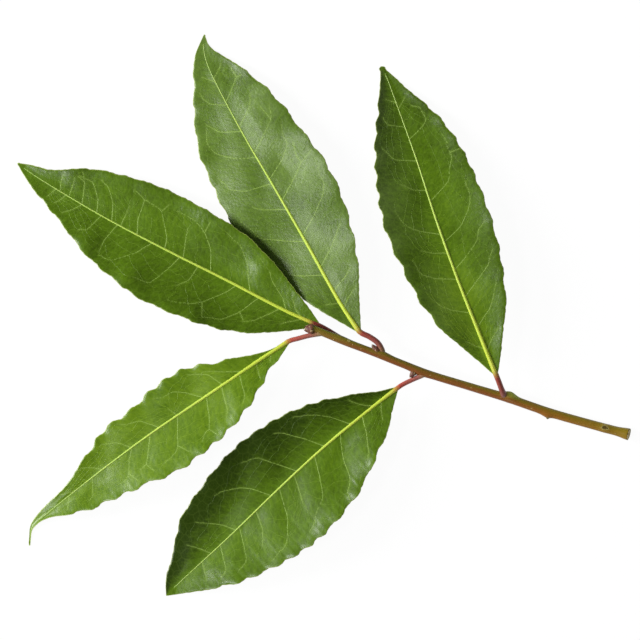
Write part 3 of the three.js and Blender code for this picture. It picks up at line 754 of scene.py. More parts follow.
# %% Start a tree, end it, and keep the plain mesh that it makes
def start_tree(name, result, **inputs):
    """A tree with named inputs, each of its kind, and the sockets that they arrive on."""
    tree = bpy.data.node_groups.new(name, "GeometryNodeTree")
    tree.is_modifier = True
    for label, kind in inputs.items():
        tree.interface.new_socket(label.replace("_", " "), in_out="INPUT", socket_type="NodeSocket" + kind)
    tree.interface.new_socket(result, in_out="OUTPUT", socket_type="NodeSocketGeometry")
    nodes = Nodes(tree)
    return nodes, nodes.add("NodeGroupInput").outputs


def end_tree(nodes, result, shapes, finish):
    """Smooths the shapes, makes them real, gives them their material and hands them out."""
    smooth = nodes.add("GeometryNodeSetShadeSmooth", {"Geometry": shapes})
    real = nodes.add("GeometryNodeRealizeInstances", {"Geometry": smooth})
    painted = nodes.add("GeometryNodeSetMaterial", {"Geometry": real, "Material": finish})
    nodes.add("NodeGroupOutput", {result: painted})
    return nodes.tree


def grow(name, mesh, tree, **inputs):
    """Puts the mesh through a node tree, and returns an object with the plain mesh that it made."""
    carrier = add_object(name, mesh)
    modifier = carrier.modifiers.new("grow", "NODES")
    modifier.node_group = tree
    sockets = {socket.name: socket.identifier for socket in tree.interface.items_tree}
    for label, value in inputs.items():
        modifier[sockets[label.replace("_", " ")]] = value
    ready = bpy.context.evaluated_depsgraph_get()
    made = bpy.data.meshes.new_from_object(
        carrier.evaluated_get(ready), preserve_all_data_layers=True, depsgraph=ready
    )
    carrier.modifiers.remove(modifier)
    carrier.data = made
    return carrier


# %% The tree that sweeps a path
def sweep_tree():
    nodes, given = start_tree(
        "sweep along a path", "Swept",
        Path="Geometry", Sides="Int", Height_over_width="Float", Finish="Material",
    )
    line = nodes.add("GeometryNodeMeshToCurve", {"Mesh": given["Path"]})
    upright = nodes.add("GeometryNodeSetCurveNormal", {"Curve": line}, mode="Z_UP")
    radius = nodes.add("GeometryNodeInputNamedAttribute", {"Name": "radius_here"}, data_type="FLOAT")
    circle = nodes.add(
        "GeometryNodeCurvePrimitiveCircle", {"Radius": 1.0, "Resolution": given["Sides"]},
        mode="RADIUS",
    )
    size = nodes.add("ShaderNodeCombineXYZ", {"X": 1.0, "Y": given["Height over width"], "Z": 1.0})
    oval = nodes.add("GeometryNodeTransform", {"Geometry": circle, "Scale": size})
    swept = nodes.add(
        "GeometryNodeCurveToMesh",
        {"Curve": upright, "Profile Curve": oval, "Scale": radius, "Fill Caps": True},
    )
    return end_tree(nodes, "Swept", swept, given["Finish"])


SWEEP = sweep_tree()


def swept(name, paths, finish, sides, flatness=1.0):
    """Sweeps along paths that each have points (layout mm), radii (mm) and other values."""
    ends = np.cumsum([0] + [len(path["radius"]) for path in paths]).tolist()
    edges = [(k, k + 1) for first, end in zip(ends, ends[1:]) for k in range(first, end - 1)]
    values = {key: np.concatenate([path[key] for path in paths]) for key in paths[0]}
    mesh = mesh_from(name, values.pop("points"), edges, [])
    store(mesh, "radius_here", values.pop("radius") * MM)
    for key in values:
        store(mesh, key, values[key])
    return grow(name, mesh, SWEEP, Sides=sides, Height_over_width=flatness, Finish=finish)


# %% [markdown]
# ## Stalk and midrib
#
# The stalk leaves the shoot from a slightly thicker foot, bends up and runs straight on into the
# midrib. The midrib starts as wide as the stalk and tapers to a hair at the tip. On top it stands
# out a little, and under the blade it stands out more, so it is swept twice along the
# same line: once at the upper face and once as a keel under the blade.

# %% Paths of the stalk, the midrib and the keel
STALK_POINTS = 26
RIB_POINTS = 150
RIB_TAPER = 1.15
RIB_AT_TIP = 0.09
RIB_SUNK = 0.42  # share of its radius that it lies in the blade
RIB_SETTLES = 0.06  # share of the blade over which the stalk becomes the midrib
RIB_SLIMS = 0.12  # share by which it grows slimmer there
KEEL_STARTS = 0.015
KEEL_WIDTH = 0.85  # as a share of the midrib's
KEEL_DROP = 0.1  # share of its radius that its middle lies below the blade
FOOT_LENGTH = 2.0
FOOT = 0.25  # share by which the stalk is thicker where it leaves the shoot


def on_the_table(points, lift, radius):
    """Lifts a path, and keeps a cord of this radius above the table."""
    points[:, 2] = np.maximum(points[:, 2] + lift, radius)
    return points


def rib_radius(leaf, t):
    body = (leaf["stalk_radius"] - RIB_AT_TIP) * (1 - t) ** RIB_TAPER
    return RIB_AT_TIP + body * (1 - RIB_SLIMS * np.clip(t / RIB_SETTLES, 0, 1))


def rib_paths(leaf):
    points = [*leaf["stalk"], *midrib_point(leaf, np.array([0, 0.05])).tolist()]
    line = smooth_line(points, STALK_POINTS * len(points))
    stalk = line[:int(len(line) * len(leaf["stalk"]) / (len(points) - 1)):len(points)]
    steps = np.linalg.norm(np.diff(stalk, axis=0), axis=1)
    before = -(steps.sum() - np.concatenate([[0], np.cumsum(steps)]))[:-1]
    foot = 1 + FOOT * hump((before - before[0]) / FOOT_LENGTH)
    t = np.linspace(0, 1, RIB_POINTS)
    blade, along, _ = blade_point(leaf, t, np.zeros(RIB_POINTS))
    radius = rib_radius(leaf, t)
    lift = (BLADE_THICKNESS / 2 - RIB_SUNK * radius) * np.clip(t / RIB_SETTLES, 0, 1)
    blush = np.full(len(before) + RIB_POINTS, leaf["blush"])
    main = {
        "points": np.concatenate([stalk[:-1], on_the_table(blade, lift, radius)]),
        "radius": np.concatenate([leaf["stalk_radius"] * foot, radius]),
        "rib_mm": np.concatenate([before, along]) - leaf["flush"],
        "blush": blush,
    }
    t = t[t > KEEL_STARTS]
    keel, along, _ = blade_point(leaf, t, np.zeros(len(t)))
    radius = rib_radius(leaf, t) * KEEL_WIDTH
    keel = on_the_table(keel, -(BLADE_THICKNESS / 2 + KEEL_DROP * radius), radius)
    return main, {"points": keel, "radius": radius, "rib_mm": along, "blush": blush[:len(t)]}


# %% [markdown]
# ## Side veins as ridges
#
# On top the side veins are pale threads no thicker than sewing cotton. Underneath they are stronger.
# Both faces get a swept thread that lies partly in the blade. The thin joining veins are as green as
# the blade, only a little lighter. Any finer net is left to the blade's material.

# %% Paths of the side veins
VEIN_RADIUS = 0.11
FORK_RADIUS = 0.72  # of a vein that leaves another one, as a share of VEIN_RADIUS
FINE_RADIUS = 0.05
VEIN_END = 0.04
UNDERSIDE_VEINS = 1.5  # how much thicker the side veins are underneath
SHORTEST_VEIN = 0.65  # how thick the shortest ones are, as a share
THICKER_BY = 0.4  # what each LONG_REACH, in mm outwards, adds to that share
LONG_REACH = 12
VEIN_TAPER = 1.3
SUNK = {1: 0.45, -1: 0.1}  # share of its radius that a vein lies in the upper (1) or lower (-1) face


def vein_paths(leaf, face):
    """Ridges of the side veins on the upper (1) or lower (-1) face."""
    paths = []
    main, fine = vein_lines(leaf), fine_veins(leaf)
    for line, is_fine in [(line, False) for line in main] + [(line, True) for line in fine]:
        t, w = line.T
        points, along, across = blade_point(leaf, t, w)
        thick = VEIN_RADIUS * (1.0 if abs(w[0]) < AT_MIDRIB else FORK_RADIUS)
        thick *= min(1, SHORTEST_VEIN + THICKER_BY * np.abs(across).max() / LONG_REACH)
        thick *= 1.0 if face > 0 else UNDERSIDE_VEINS
        thick, sunk = (FINE_RADIUS, 0.0) if is_fine else (thick, SUNK[face])
        radius = thick + (VEIN_END - thick) * np.linspace(0, 1, len(t)) ** VEIN_TAPER
        lift = face * (BLADE_THICKNESS / 2 - sunk * radius)
        lift = lift + quilting(w, across, nearest_vein(leaf, along, across))
        paths.append({
            "points": on_the_table(points, lift, radius), "radius": radius, "rib_mm": along,
            "tone_and_shade": tone_and_shade_at(leaf, t, w), "fine": np.full(len(t), float(is_fine)),
        })
    return paths


# %% [markdown]
# ## What a bay leaf looks like
#
# The upper side of a bay leaf is thick, leathery and waxy: deep green, with a soft gloss that shows
# where it leans towards the light. Fine wrinkles and pores roughen it, more on some leaves than on
# others, and where it is rough a pale grey-green painted sheen is laid on its colour, in patches. Its
# green is also painted lighter or darker on some halves, as painted sheen and painted shade. Its thin
# clear edge is paler. Two Voronoi nets, laid out in millimetres along the leaf, stand for the finest
# veins. The real net is a little finer than the one drawn here, which would otherwise not show at
# arm's length.

# %% Material: waxy upper side
GREENS = [(0.0, 0x2A3E03), (0.2, 0x3C5406), (0.5, 0x54740C), (1.0, 0x7E9E1A)]
NET_CELL = 2.3  # mm across a mesh of the coarser net
FINE_CELL = 0.9  # mm across a mesh of the finer net
PATCH = 16.0  # mm across a patch of deeper or fresher green
FIBRE = 0.95  # mm across a wrinkle of the leathery skin
FIBRE_LENGTH = 1.6  # mm
PORE = 0.65  # mm across a grain between the wrinkles


def new_material(name):
    material = bpy.data.materials.new(name)
    material.use_nodes = True
    tree = material.node_tree
    return material, Nodes(tree), tree.nodes["Principled BSDF"]


def waxy_upper_side():
    """Deep green with a soft gloss, more wrinkled where it is leathery, with a pale painted sheen laid on
    there.
    """
    material, nodes, shader = new_material("leathery_bay_leaf_upper_side")
    place, fibres = (nodes.read(name, "Vector") for name in ("blade_mm", "grain_mm"))
    leathery_and_sheen, edge, vein, tone_and_shade = (nodes.read(name) for name in ("leathery_and_sheen", "edge_mm", "vein_mm", "tone_and_shade"))
    patches = nodes.noise(place, 1 / PATCH, 3.0, 0.55)
    per_fibre = (1 / FIBRE, 1 / FIBRE_LENGTH, 1.0)
    wrinkled = nodes.add("ShaderNodeMapping", {"Vector": fibres, "Scale": per_fibre})
    grain = nodes.noise(wrinkled, 1.0, 3.0, 0.6)
    pores = nodes.noise(place, 1 / PORE)
    for noise, most in ((patches, 0.25), (grain, 0.32)):
        change = nodes.remap(noise, new=(-most, most))
        tone_and_shade = nodes.maths("ADD", change, tone_and_shade)
    # the green's tone carries painted shade and painted sheen on some halves of the leaves
    colour = nodes.ramp(tone_and_shade, GREENS)

    nets = []
    for cell, width in ((NET_CELL, 0.07), (FINE_CELL, 0.12)):
        net = nodes.add(
            "ShaderNodeTexVoronoi", {"Vector": place, "Scale": 1 / cell, "Randomness": 0.9},
            feature="DISTANCE_TO_EDGE", voronoi_dimensions="2D",
        )
        nets.append(nodes.remap(net, (0.0, width), (1.0, 0.0)))
    fine = nodes.maths("MULTIPLY", nets[1], 0.5)
    both = nodes.maths("MAXIMUM", nets[0], fine)
    netted = nodes.maths("MULTIPLY", both, 0.1)
    # a pale grey-green painted sheen, in patches, laid on where the leaf is leathery
    sheen_patches = nodes.remap(patches, (0.38, 0.6), (0.02, 0.13))
    painted_sheen = nodes.remap(leathery_and_sheen, (0.6, 1.0), (0.0, sheen_patches))
    halo = nodes.remap(vein, (0.0, 0.5), (0.25, 0.0), interpolation_type="SMOOTHSTEP")
    rim = nodes.remap(edge, (0.06, 0.3), (0.6, 0.0), interpolation_type="SMOOTHSTEP")
    for cover, coat in ((netted, 0x94B050), (painted_sheen, 0xA0B07C), (halo, 0x8CA848), (rim, 0xA9B85A)):
        colour = nodes.blend(cover, colour, linear(coat))
    gloss = nodes.remap(leathery_and_sheen, new=(0.26, 0.34))
    height = nodes.maths("MULTIPLY_ADD", pores, 0.7, grain)
    relief = nodes.add("ShaderNodeBump", {"Height": height, "Strength": leathery_and_sheen, "Distance": 0.075 * MM})
    fill(shader, {
        "Base Color": colour, "Roughness": gloss, "Normal": relief, "Specular IOR Level": 0.36,
    })
    return material


# %% Material: matte underside
def matte_underside():
    """Paler than the upper side and without its gloss."""
    material, nodes, shader = new_material("leathery_bay_leaf_underside")
    place = nodes.read("blade_mm", "Vector")
    net = nodes.add(
        "ShaderNodeTexVoronoi", {"Vector": place, "Scale": 1 / NET_CELL, "Randomness": 0.85},
        feature="DISTANCE_TO_EDGE", voronoi_dimensions="2D",
    )
    line = nodes.remap(net, (0.0, 0.12), (1.0, 0.0))
    greens = nodes.ramp(line, [(0.0, 0x869F5B), (1.0, 0x93AA66)])
    relief = nodes.add("ShaderNodeBump", {"Height": line, "Strength": 0.6, "Distance": 0.06 * MM})
    fill(shader, {"Base Color": greens, "Roughness": 0.62, "Normal": relief})
    return material


# %% Materials: stalk and midrib, side veins
RIB_FROM = -10.0  # mm before the blade, at the left end of the ramp
RIB_TO = 90.0
LIGHTER = 0.3  # how much lighter a thin vein is, in the blade's tone


def along_ramp(nodes, stops):
    """A colour that changes with the distance from the blade's base, in mm."""
    share = nodes.remap(nodes.read("rib_mm"), (RIB_FROM, RIB_TO))
    stops = [((mm - RIB_FROM) / (RIB_TO - RIB_FROM), colour) for mm, colour in stops]
    return nodes.ramp(share, stops)


def stalk_and_midrib():
    """Red-brown to rosy stalks that turn into a bright yellow-green midrib, both satin."""
    material, nodes, shader = new_material("leaf_stalk_and_midrib")
    onward = [(1.2, 0xC0C440), (5, 0xC4D640), (50, 0xB0CC50), (85, 0x98B458)]
    deep = along_ramp(nodes, [(-8, 0x5A3222), (-4, 0x743026), (-0.6, 0x84382A), *onward])
    rosy = along_ramp(nodes, [(-8, 0xA88C5C), (-6, 0xA8645A), (-0.6, 0xB24C3C), *onward])
    colour = nodes.blend(nodes.read("blush"), deep, rosy)
    where = nodes.add("ShaderNodeTexCoord").outputs["Object"]
    grain = nodes.noise(where, 900.0)
    mottled = nodes.blend(0.25, colour, grain.outputs["Color"], blend_type="SOFT_LIGHT")
    fill(shader, {"Base Color": mottled, "Roughness": 0.4})
    return material


def side_vein():
    """Pale green side veins, and thin ones that are a little lighter than the blade."""
    material, nodes, shader = new_material("side_veins")
    pale = along_ramp(nodes, [(0, 0x9CBA54), (90, 0x90B050)])
    lighter = nodes.maths("ADD", nodes.read("tone_and_shade"), LIGHTER)
    colour = nodes.blend(nodes.read("fine"), pale, nodes.ramp(lighter, GREENS))
    fill(shader, {"Base Color": colour, "Roughness": 0.45})
    return material


UPPER_SIDE, UNDERSIDE = waxy_upper_side(), matte_underside()
STALK, SIDE_VEIN = stalk_and_midrib(), side_vein()
print("leaf materials:", UPPER_SIDE.name, UNDERSIDE.name, STALK.name, SIDE_VEIN.name)

# %% [markdown]
# ## Put each leaf together
#
# A leaf grew as one piece, so its blade, stalk, midrib and veins are joined into one object that
# stands for the CAD leaf.

# %% Make the five leaves
def join(name, parts):
    """Joins finished mesh objects into one, which keeps all their materials."""
    main = parts[0]
    with bpy.context.temp_override(
        active_object=main, object=main, selected_objects=parts, selected_editable_objects=parts
    ):
        bpy.ops.object.join()
    main.name = main.data.name = name
    return main


def make_leaf(name, leaf):
    mesh = blade_mesh("blade_" + name, leaf)
    mesh.materials.append(UPPER_SIDE)
    mesh.materials.append(UNDERSIDE)
    main, under = rib_paths(leaf)
    threads = vein_paths(leaf, 1) + vein_paths(leaf, -1)
    made = join("bay_leaf_" + name, [
        add_object("blade_" + name, mesh),
        swept("rib_" + name, [main], STALK, sides=20),
        swept("keel_" + name, [under], STALK, sides=12),
        swept("veins_" + name, threads, SIDE_VEIN, sides=6, flatness=0.6),
    ])
    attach(made, "root")
    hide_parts("leaf_" + name)
    return made


for name, leaf in LEAVES.items():
    made = make_leaf(name, leaf)

# %% [markdown]
# ## The shoot
#
# This year's shoot is thin and still smooth: olive where the light falls on it, and red-brown below and
# towards its base. Rings of points follow the centre line, with low ridges that run lengthwise. Two
# leaves have dropped and left scars, a bract has left a stump, and small pale marks are spread over
# the bark. The secateurs went through it at a slant.

# %% Mesh of the shoot
STEM_LENGTH = float(np.linalg.norm(np.diff(stem_centre, axis=0), axis=1).sum())
BARK_RADIUS = 1.1  # mm, for distances round the shoot
GRAIN_RADIUS = 1.2  # mm, of the cylinder that the bark's pattern is laid on
RIDGE = 0.018  # mm
OBLIQUE = {"lean": 0.3, "length": 0.02}  # how far the cut face leans back at the top, and fades out
NUB = {"at": 0.224, "facing": 95, "height": 0.45, "size": 0.3}  # stump of a bract, mm
FRESH = {"at": 0.33, "facing": -60, "length": 0.022}  # the green cushion beside leaf_right's stalk
SCARS = ((0.07, -8, 1.0, 0.55), (0.335, 115, 0.8, 0.5))  # station, facing, half-length, half-width
SCAR_DEPTH, SCAR_RIM, MARK_HEIGHT = 0.09, 0.06, 0.03  # mm
SCAR_LOBES = 0.16  # how much its outline goes in and out
SCAR_HOLLOW, RIM_AT, RIM_WIDTH = 0.6, 0.95, 0.2  # where its hollow and its rim are, 1 is its edge
MARK_SLIM, MARK_RING, MARK_WIDTH = 1.6, 0.75, 0.35  # a mark is a raised ring, longer than wide
FRESH_WIDTH = 0.9  # mm
MARKS = [  # pale scars of bracts and large lenticels: station, facing in degrees, size in mm
    (0.859, -34, 0.5), (0.711, -75, 0.5), (0.425, 32, 0.22), (0.314, -47, 0.25), (0.492, -80, 0.25),
    (0.273, 25, 0.2), (0.81, 20, 0.2), (0.57, 50, 0.2),
]
CUT_RINGS = [  # from the bark inwards: share of the shoot's radius, mm that the wood stands out
    (0.95, 0.03), (0.88, -0.02), (0.84, -0.06), (0.6, -0.05), (0.34, -0.04), (0.26, -0.1), (0.1, -0.14),
]
TIP_RINGS = ((0.92, 0.35), (0.6, 0.8))
TIP_OUT = 0.95  # mm that the rounded tip stands out


def across_bark(share, turn, at, facing):
    """Distances in mm along and round the shoot from a place on its bark."""
    along = (share - at) * STEM_LENGTH
    around = np.angle(np.exp(1j * (turn - math.radians(facing)))) * BARK_RADIUS
    return along, around


def scar_distance(share, turn):
    """Distance from the nearest old leaf scar, where 1 is the scar's own edge."""
    nearest = np.full(np.broadcast(share, turn).shape, 4.0)
    for at, facing, length, width in SCARS:
        along, around = across_bark(share, turn, at, facing)
        along, around = along / length, around / width
        lobes = 1 + SCAR_LOBES * np.cos(3 * np.arctan2(around, along) + 1)
        nearest = np.minimum(nearest, np.hypot(along, around) * lobes)
    return nearest


def outward(end, inner):
    """The direction out of one end of the shoot."""
    way = stem_centre[end] - stem_centre[inner]
    return way / np.linalg.norm(way)


def stem_mesh():
    rng = np.random.default_rng(7)
    share, turn = stem_share[:, None], stem_turn[None, :]
    ridges = sum(np.cos(k * turn + rng.uniform(0, 6.3) + share * rng.uniform(-9, 9)) for k in (5, 7, 9, 12))
    scar = scar_distance(share, turn)
    nub = np.hypot(*across_bark(share, turn, NUB["at"], NUB["facing"])) / NUB["size"]
    marks = np.zeros(scar.shape)
    for at, facing, size in MARKS:
        along, around = across_bark(share, turn, at, facing)
        ring = np.abs(np.hypot(along, around * MARK_SLIM) / size - MARK_RING)
        marks = np.maximum(marks, hump(ring / MARK_WIDTH))
    along, around = across_bark(share, turn, FRESH["at"], FRESH["facing"])
    fresh = np.exp(-((along / (FRESH["length"] * STEM_LENGTH)) ** 2) - (around / FRESH_WIDTH) ** 2)
    radii = stem_radii + RIDGE * ridges / 2
    radii = radii - SCAR_DEPTH * hump(scar / SCAR_HOLLOW)
    radii = radii + SCAR_RIM * hump((scar - RIM_AT) / RIM_WIDTH)
    radii = radii + NUB["height"] * hump(nub) + MARK_HEIGHT * marks

    back, ahead = outward(0, 1), outward(-1, -2)
    lean = OBLIQUE["lean"] * np.exp(-share / OBLIQUE["length"]) * radii * np.cos(turn)
    rings = rings_round(stem_centre, radii) - lean[..., None] * back
    cut, tip = (
        [stem_centre[end] + (rings[end] - stem_centre[end]) * size + way * proud for size, proud in steps]
        for end, way, steps in ((0, back, CUT_RINGS[::-1]), (-1, ahead, TIP_RINGS))
    )
    stack = np.concatenate([cut, rings, tip])
    stack[..., 2] = np.maximum(0, stack[..., 2])
    layers, sides = stack.shape[:2]
    index = np.arange(layers * sides).reshape(layers, sides)
    after = np.roll(index, -1, axis=1)
    quads = np.stack([index[:-1], after[:-1], after[1:], index[1:]], axis=-1).reshape(-1, 4)
    hubs = [stem_centre[0] + back * CUT_RINGS[-1][1], stem_centre[-1] + ahead * TIP_OUT]
    first, last = layers * sides, layers * sides + 1
    faces = quads.tolist()
    faces += [[first, b, a] for a, b in zip(index[0].tolist(), after[0].tolist())]
    faces += [[last, a, b] for a, b in zip(index[-1].tolist(), after[-1].tolist())]
    mesh = mesh_from("stem", np.concatenate([stack.reshape(-1, 3), hubs]), [], faces)

    inner = len(CUT_RINGS)
    layer_share = np.concatenate([np.zeros(inner), stem_share, [1, 1]])
    along = np.append(np.repeat(layer_share * STEM_LENGTH, sides), [0, STEM_LENGTH])
    around = np.append(np.tile(stem_turn, layers), [0, 0])
    left, up = GRAIN_RADIUS * np.sin(around), GRAIN_RADIUS * np.cos(around)
    store(mesh, "stem_mm", np.stack([along, left, up], axis=1))
    wide = np.concatenate([[size for size, _ in CUT_RINGS[::-1]], np.ones(len(stem_share) + 2)])
    store(mesh, "cut_share", np.append(np.repeat(wide, sides), [0, 1]))
    for key, values, elsewhere in (
        ("scar", scar, 4), ("mark", marks, 0), ("fresh", fresh, 0), ("nub", nub, 9),
    ):
        padded = np.full((layers, sides), float(elsewhere))
        padded[inner:-2] = values
        store(mesh, key, np.append(padded.ravel(), [elsewhere, elsewhere]))
    finish = np.zeros(len(mesh.polygons), np.int32)
    finish[:inner * sides] = 1
    finish[len(quads):len(quads) + sides] = 1
    mesh.polygons.foreach_set("material_index", finish)
    return mesh


# %% [markdown]
# ## Bark and cut wood
#
# Young bark is a thin satin skin. Its colour is two ramps mixed by which way the skin faces and by
# long streaks. The secateurs left a pale face with a dark rim of bark and a small round pith.

# %% Materials of the shoot
def young_bark():
    """Olive and red-brown satin skin, with ragged scars, pale marks and a green cushion."""
    material, nodes, shader = new_material("young_laurel_bark")
    place = nodes.read("stem_mm", "Vector")
    scar, mark, fresh, nub = (nodes.read(name) for name in ("scar", "mark", "fresh", "nub"))
    split = nodes.add("ShaderNodeSeparateXYZ", {"Vector": place}).outputs
    stretched = nodes.add("ShaderNodeMapping", {"Vector": place, "Scale": (0.12, 1.0, 1.0)})
    streaks = nodes.noise(stretched, 1.6, 4.0, 0.6)
    along = nodes.remap(split["X"], (0.0, STEM_LENGTH))
    olive, brown = (
        nodes.ramp(along, stops)
        for stops in (
            [(0.0, 0x8C7A18), (0.35, 0x7C7014), (0.7, 0x746A16), (1.0, 0x7C7C1C)],
            [(0.0, 0x92741C), (0.2, 0x94621A), (0.36, 0x885020), (0.8, 0x824A20), (1.0, 0x7E6420)],
        )
    )
    side = nodes.remap(split["Y"], (-0.9, 1.1), (0.15, 0.85))
    shaded = nodes.maths("ADD", streaks, side)
    red = nodes.remap(shaded, (0.5, 1.25), interpolation_type="SMOOTHSTEP")
    colour = nodes.blend(red, olive, brown)

    crumbs = nodes.noise(place, 2.6)
    ragged = nodes.maths("MULTIPLY_ADD", crumbs, 1.1, -0.55)
    scar = nodes.maths("ADD", scar, ragged)
    scar_share = nodes.maths("MULTIPLY", scar, 0.5)
    corky = [(0.0, 0x84702E), (0.16, 0x4A3C1A), (0.3, 0x64521F), (0.46, 0xAEA25C), (0.56, 0x8C7A38)]
    scarred = nodes.ramp(scar_share, corky)
    for near, coat, low, high, most in (
        (scar, scarred, 1.25, 0.9, 1.0),
        (mark, linear(0xC8BC78), 0.3, 0.9, 0.85),
        (fresh, linear(0xB0BA44), 0.2, 0.8, 0.85),
        (nub, linear(0x626A40), 2.4, 1.2, 0.85),
    ):
        cover = nodes.remap(near, (low, high), (0.0, most))
        colour = nodes.blend(cover, colour, coat)
    pores = nodes.noise(stretched, 5.0, 3.0)
    relief = nodes.add("ShaderNodeBump", {"Height": pores, "Strength": 0.5, "Distance": 0.05 * MM})
    # the thin skin shines less than wax
    fill(shader, {
        "Base Color": colour, "Roughness": 0.45, "Normal": relief, "Specular IOR Level": 0.3,
    })
    return material


def cut_wood():
    """Pale, dry wood round a darker pith, inside a green layer and the rim of bark."""
    material, nodes, shader = new_material("freshly_cut_wood")
    woods = [(0.2, 0xA88E54), (0.32, 0xECD8A4), (0.8, 0xE0C890), (0.88, 0x84883C), (1.0, 0x5A4220)]
    rings = nodes.ramp(nodes.read("cut_share"), woods)
    fill(shader, {"Base Color": rings, "Roughness": 0.75})
    return material


def lenticel_cork():
    """Pale brown, dull cork."""
    material, nodes, shader = new_material("lenticel_cork")
    where = nodes.add("ShaderNodeTexCoord").outputs["Object"]
    grain = nodes.noise(where, 3000.0)
    browns = nodes.ramp(grain, [(0.35, 0x9A8248), (0.65, 0xB9A268)])
    fill(shader, {"Base Color": browns, "Roughness": 0.8})
    return material


# %% [markdown]
# ## Lenticels
#
# Lenticels are the small corky pores through which the shoot breathes. They are scattered
# over the whole skin of the shoot, its two ends included. Geometry Nodes scatter points on the skin
# with a least distance between them, and put a flattened grain on each.

# %% The tree that scatters lenticels
def lenticel_tree():
    nodes, given = start_tree(
        "scatter lenticels", "Lenticels",
        Skin="Geometry", Length="Float", Least_distance="Float", Seed="Int", Finish="Material",
    )
    points = nodes.add(
        "GeometryNodeDistributePointsOnFaces",
        {
            "Mesh": given["Skin"], "Distance Min": given["Least distance"], "Density Max": 3.0e5,
            "Seed": given["Seed"],
        },
        distribute_method="POISSON",
    ).outputs
    grain = nodes.add("GeometryNodeMeshIcoSphere", {"Radius": 0.5, "Subdivisions": 2})
    flat = nodes.add("GeometryNodeTransform", {"Geometry": grain, "Scale": (1.0, 0.6, 0.28)})
    vary = nodes.add(
        "FunctionNodeRandomValue", {"Min": 0.5, "Max": 1.1, "Seed": given["Seed"]}, data_type="FLOAT"
    )
    length = nodes.maths("MULTIPLY", vary, given["Length"])
    placed = nodes.add("GeometryNodeInstanceOnPoints", {
        "Points": points["Points"], "Instance": flat, "Rotation": points["Rotation"], "Scale": length,
    })
    return end_tree(nodes, "Lenticels", placed, given["Finish"])


# %% Make the shoot
skin = stem_mesh()
skin.materials.append(young_bark())
skin.materials.append(cut_wood())
bark = add_object("bark", skin)
lenticels = grow(
    "lenticels", skin.copy(), lenticel_tree(),
    Length=0.42 * MM, Least_distance=2.6 * MM, Seed=3, Finish=lenticel_cork(),
)
print("lenticel faces:", len(lenticels.data.polygons))
shoot = join("woody_shoot", [bark, lenticels])
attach(shoot, "root")
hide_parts("stem")
print("shoot faces:", len(shoot.data.polygons), "length mm:", round(STEM_LENGTH, 1))

# %% [markdown]
# ## Buds
#
# A bud is a cone of scales that overlap like roof tiles. All of them start at its foot: the outer
# ones are short and the inner ones reach the point. A node tree turns each scale on by the golden
# angle, which is how plants set them, and makes it a little slimmer and taller than the last.

# %% One scale, and the tree that stacks them
GOLDEN_ANGLE = math.radians(137.508)
SCALE_ROWS, SCALE_COLUMNS = 18, 15
SLIMMEST = 0.72  # width of the innermost scale, as a share of the outermost
SHORTEST = 0.55  # height of the outermost scale, as a share of the bud's
SPREAD = math.radians(80)  # how far a scale reaches round the bud to each side
POINTED = (2.6, 0.75)  # the powers that make its point
POINT = 0.02  # radians that it still reaches to each side there
OUTER, INNER = 0.06, -0.02  # how far its two faces stand off the bud
KEEL, KEEL_HALF = 0.05, 0.25  # height and half-width of the keel on its back
ROLLED_RIM = 0.02


def bud_profile(share):
    return smooth_at([0, 0.12, 0.3, 0.5, 0.7, 0.87, 1], [0.6, 0.88, 1, 0.98, 0.84, 0.56, 0.08], share)


def scale_mesh():
    """A pointed, cupped scale on a bud of radius 1 and height 1."""
    s, q = np.broadcast_arrays(
        np.linspace(0, 1, SCALE_ROWS)[:, None], np.linspace(-1, 1, SCALE_COLUMNS)[None, :]
    )
    angle = q * (SPREAD * (1 - s ** POINTED[0]) ** POINTED[1] + POINT)
    layers = []
    for lift in (OUTER, INNER):
        keel = KEEL * hump(q / KEEL_HALF) * (1 - s) if lift > 0 else 0
        rim = ROLLED_RIM * np.abs(q) ** 6 * (lift > 0)
        radius = bud_profile(s) * (1 + lift * (1 - 0.6 * np.abs(q) ** 4)) + keel + rim
        layers.append(np.stack([radius * np.cos(angle), radius * np.sin(angle), s], axis=-1))
    front, back, rim = sheet_faces(SCALE_ROWS, SCALE_COLUMNS)
    faces = front.tolist() + back[:, ::-1].tolist() + rim[:, [1, 0, 3, 2]].tolist()
    mesh = bpy.data.meshes.new("bud_scale")
    mesh.from_pydata(np.concatenate(layers).reshape(-1, 3).tolist(), [], faces)
    store(mesh, "scale_edge", np.tile(np.minimum(1 - np.abs(q), (1 - s) * 1.5).ravel(), 2))
    store(mesh, "scale_height", np.tile(s.ravel(), 2))
    return mesh


def bud_tree():
    nodes, given = start_tree(
        "stack bud scales", "Bud", Scale="Geometry", Scales="Int", Shortest_scale="Float", Finish="Material"
    )
    points = nodes.add("GeometryNodePoints", {"Count": given["Scales"]})
    number = nodes.add("GeometryNodeInputIndex")
    turn = nodes.maths("MULTIPLY", number, GOLDEN_ANGLE)
    spin = nodes.add("ShaderNodeCombineXYZ", {"Z": turn})
    inward = nodes.maths("DIVIDE", number, given["Scales"])
    height = nodes.remap(inward, new=(given["Shortest scale"], 1.0))
    width = nodes.remap(inward, new=(1.0, SLIMMEST))
    size = nodes.add("ShaderNodeCombineXYZ", {"X": width, "Y": width, "Z": height})
    placed = nodes.add("GeometryNodeInstanceOnPoints", {
        "Points": points, "Instance": given["Scale"], "Rotation": spin, "Scale": size,
    })
    return end_tree(nodes, "Bud", placed, given["Finish"])


def bud_scale_skin():
    """Olive at the foot and red-brown at the point, satin, with a pale dry rim."""
    material, nodes, shader = new_material("bud_scale_skin")
    edge, height = nodes.read("scale_edge"), nodes.read("scale_height")
    body = nodes.ramp(height, [(0.0, 0x6E6420), (0.3, 0x704626), (0.6, 0x683A30), (1.0, 0x5A322C)])
    rim = nodes.remap(edge, (0.02, 0.2), (0.85, 0.0))
    edged = nodes.blend(rim, body, linear(0xB8A878))
    fill(shader, {"Base Color": edged, "Roughness": 0.55})
    return material


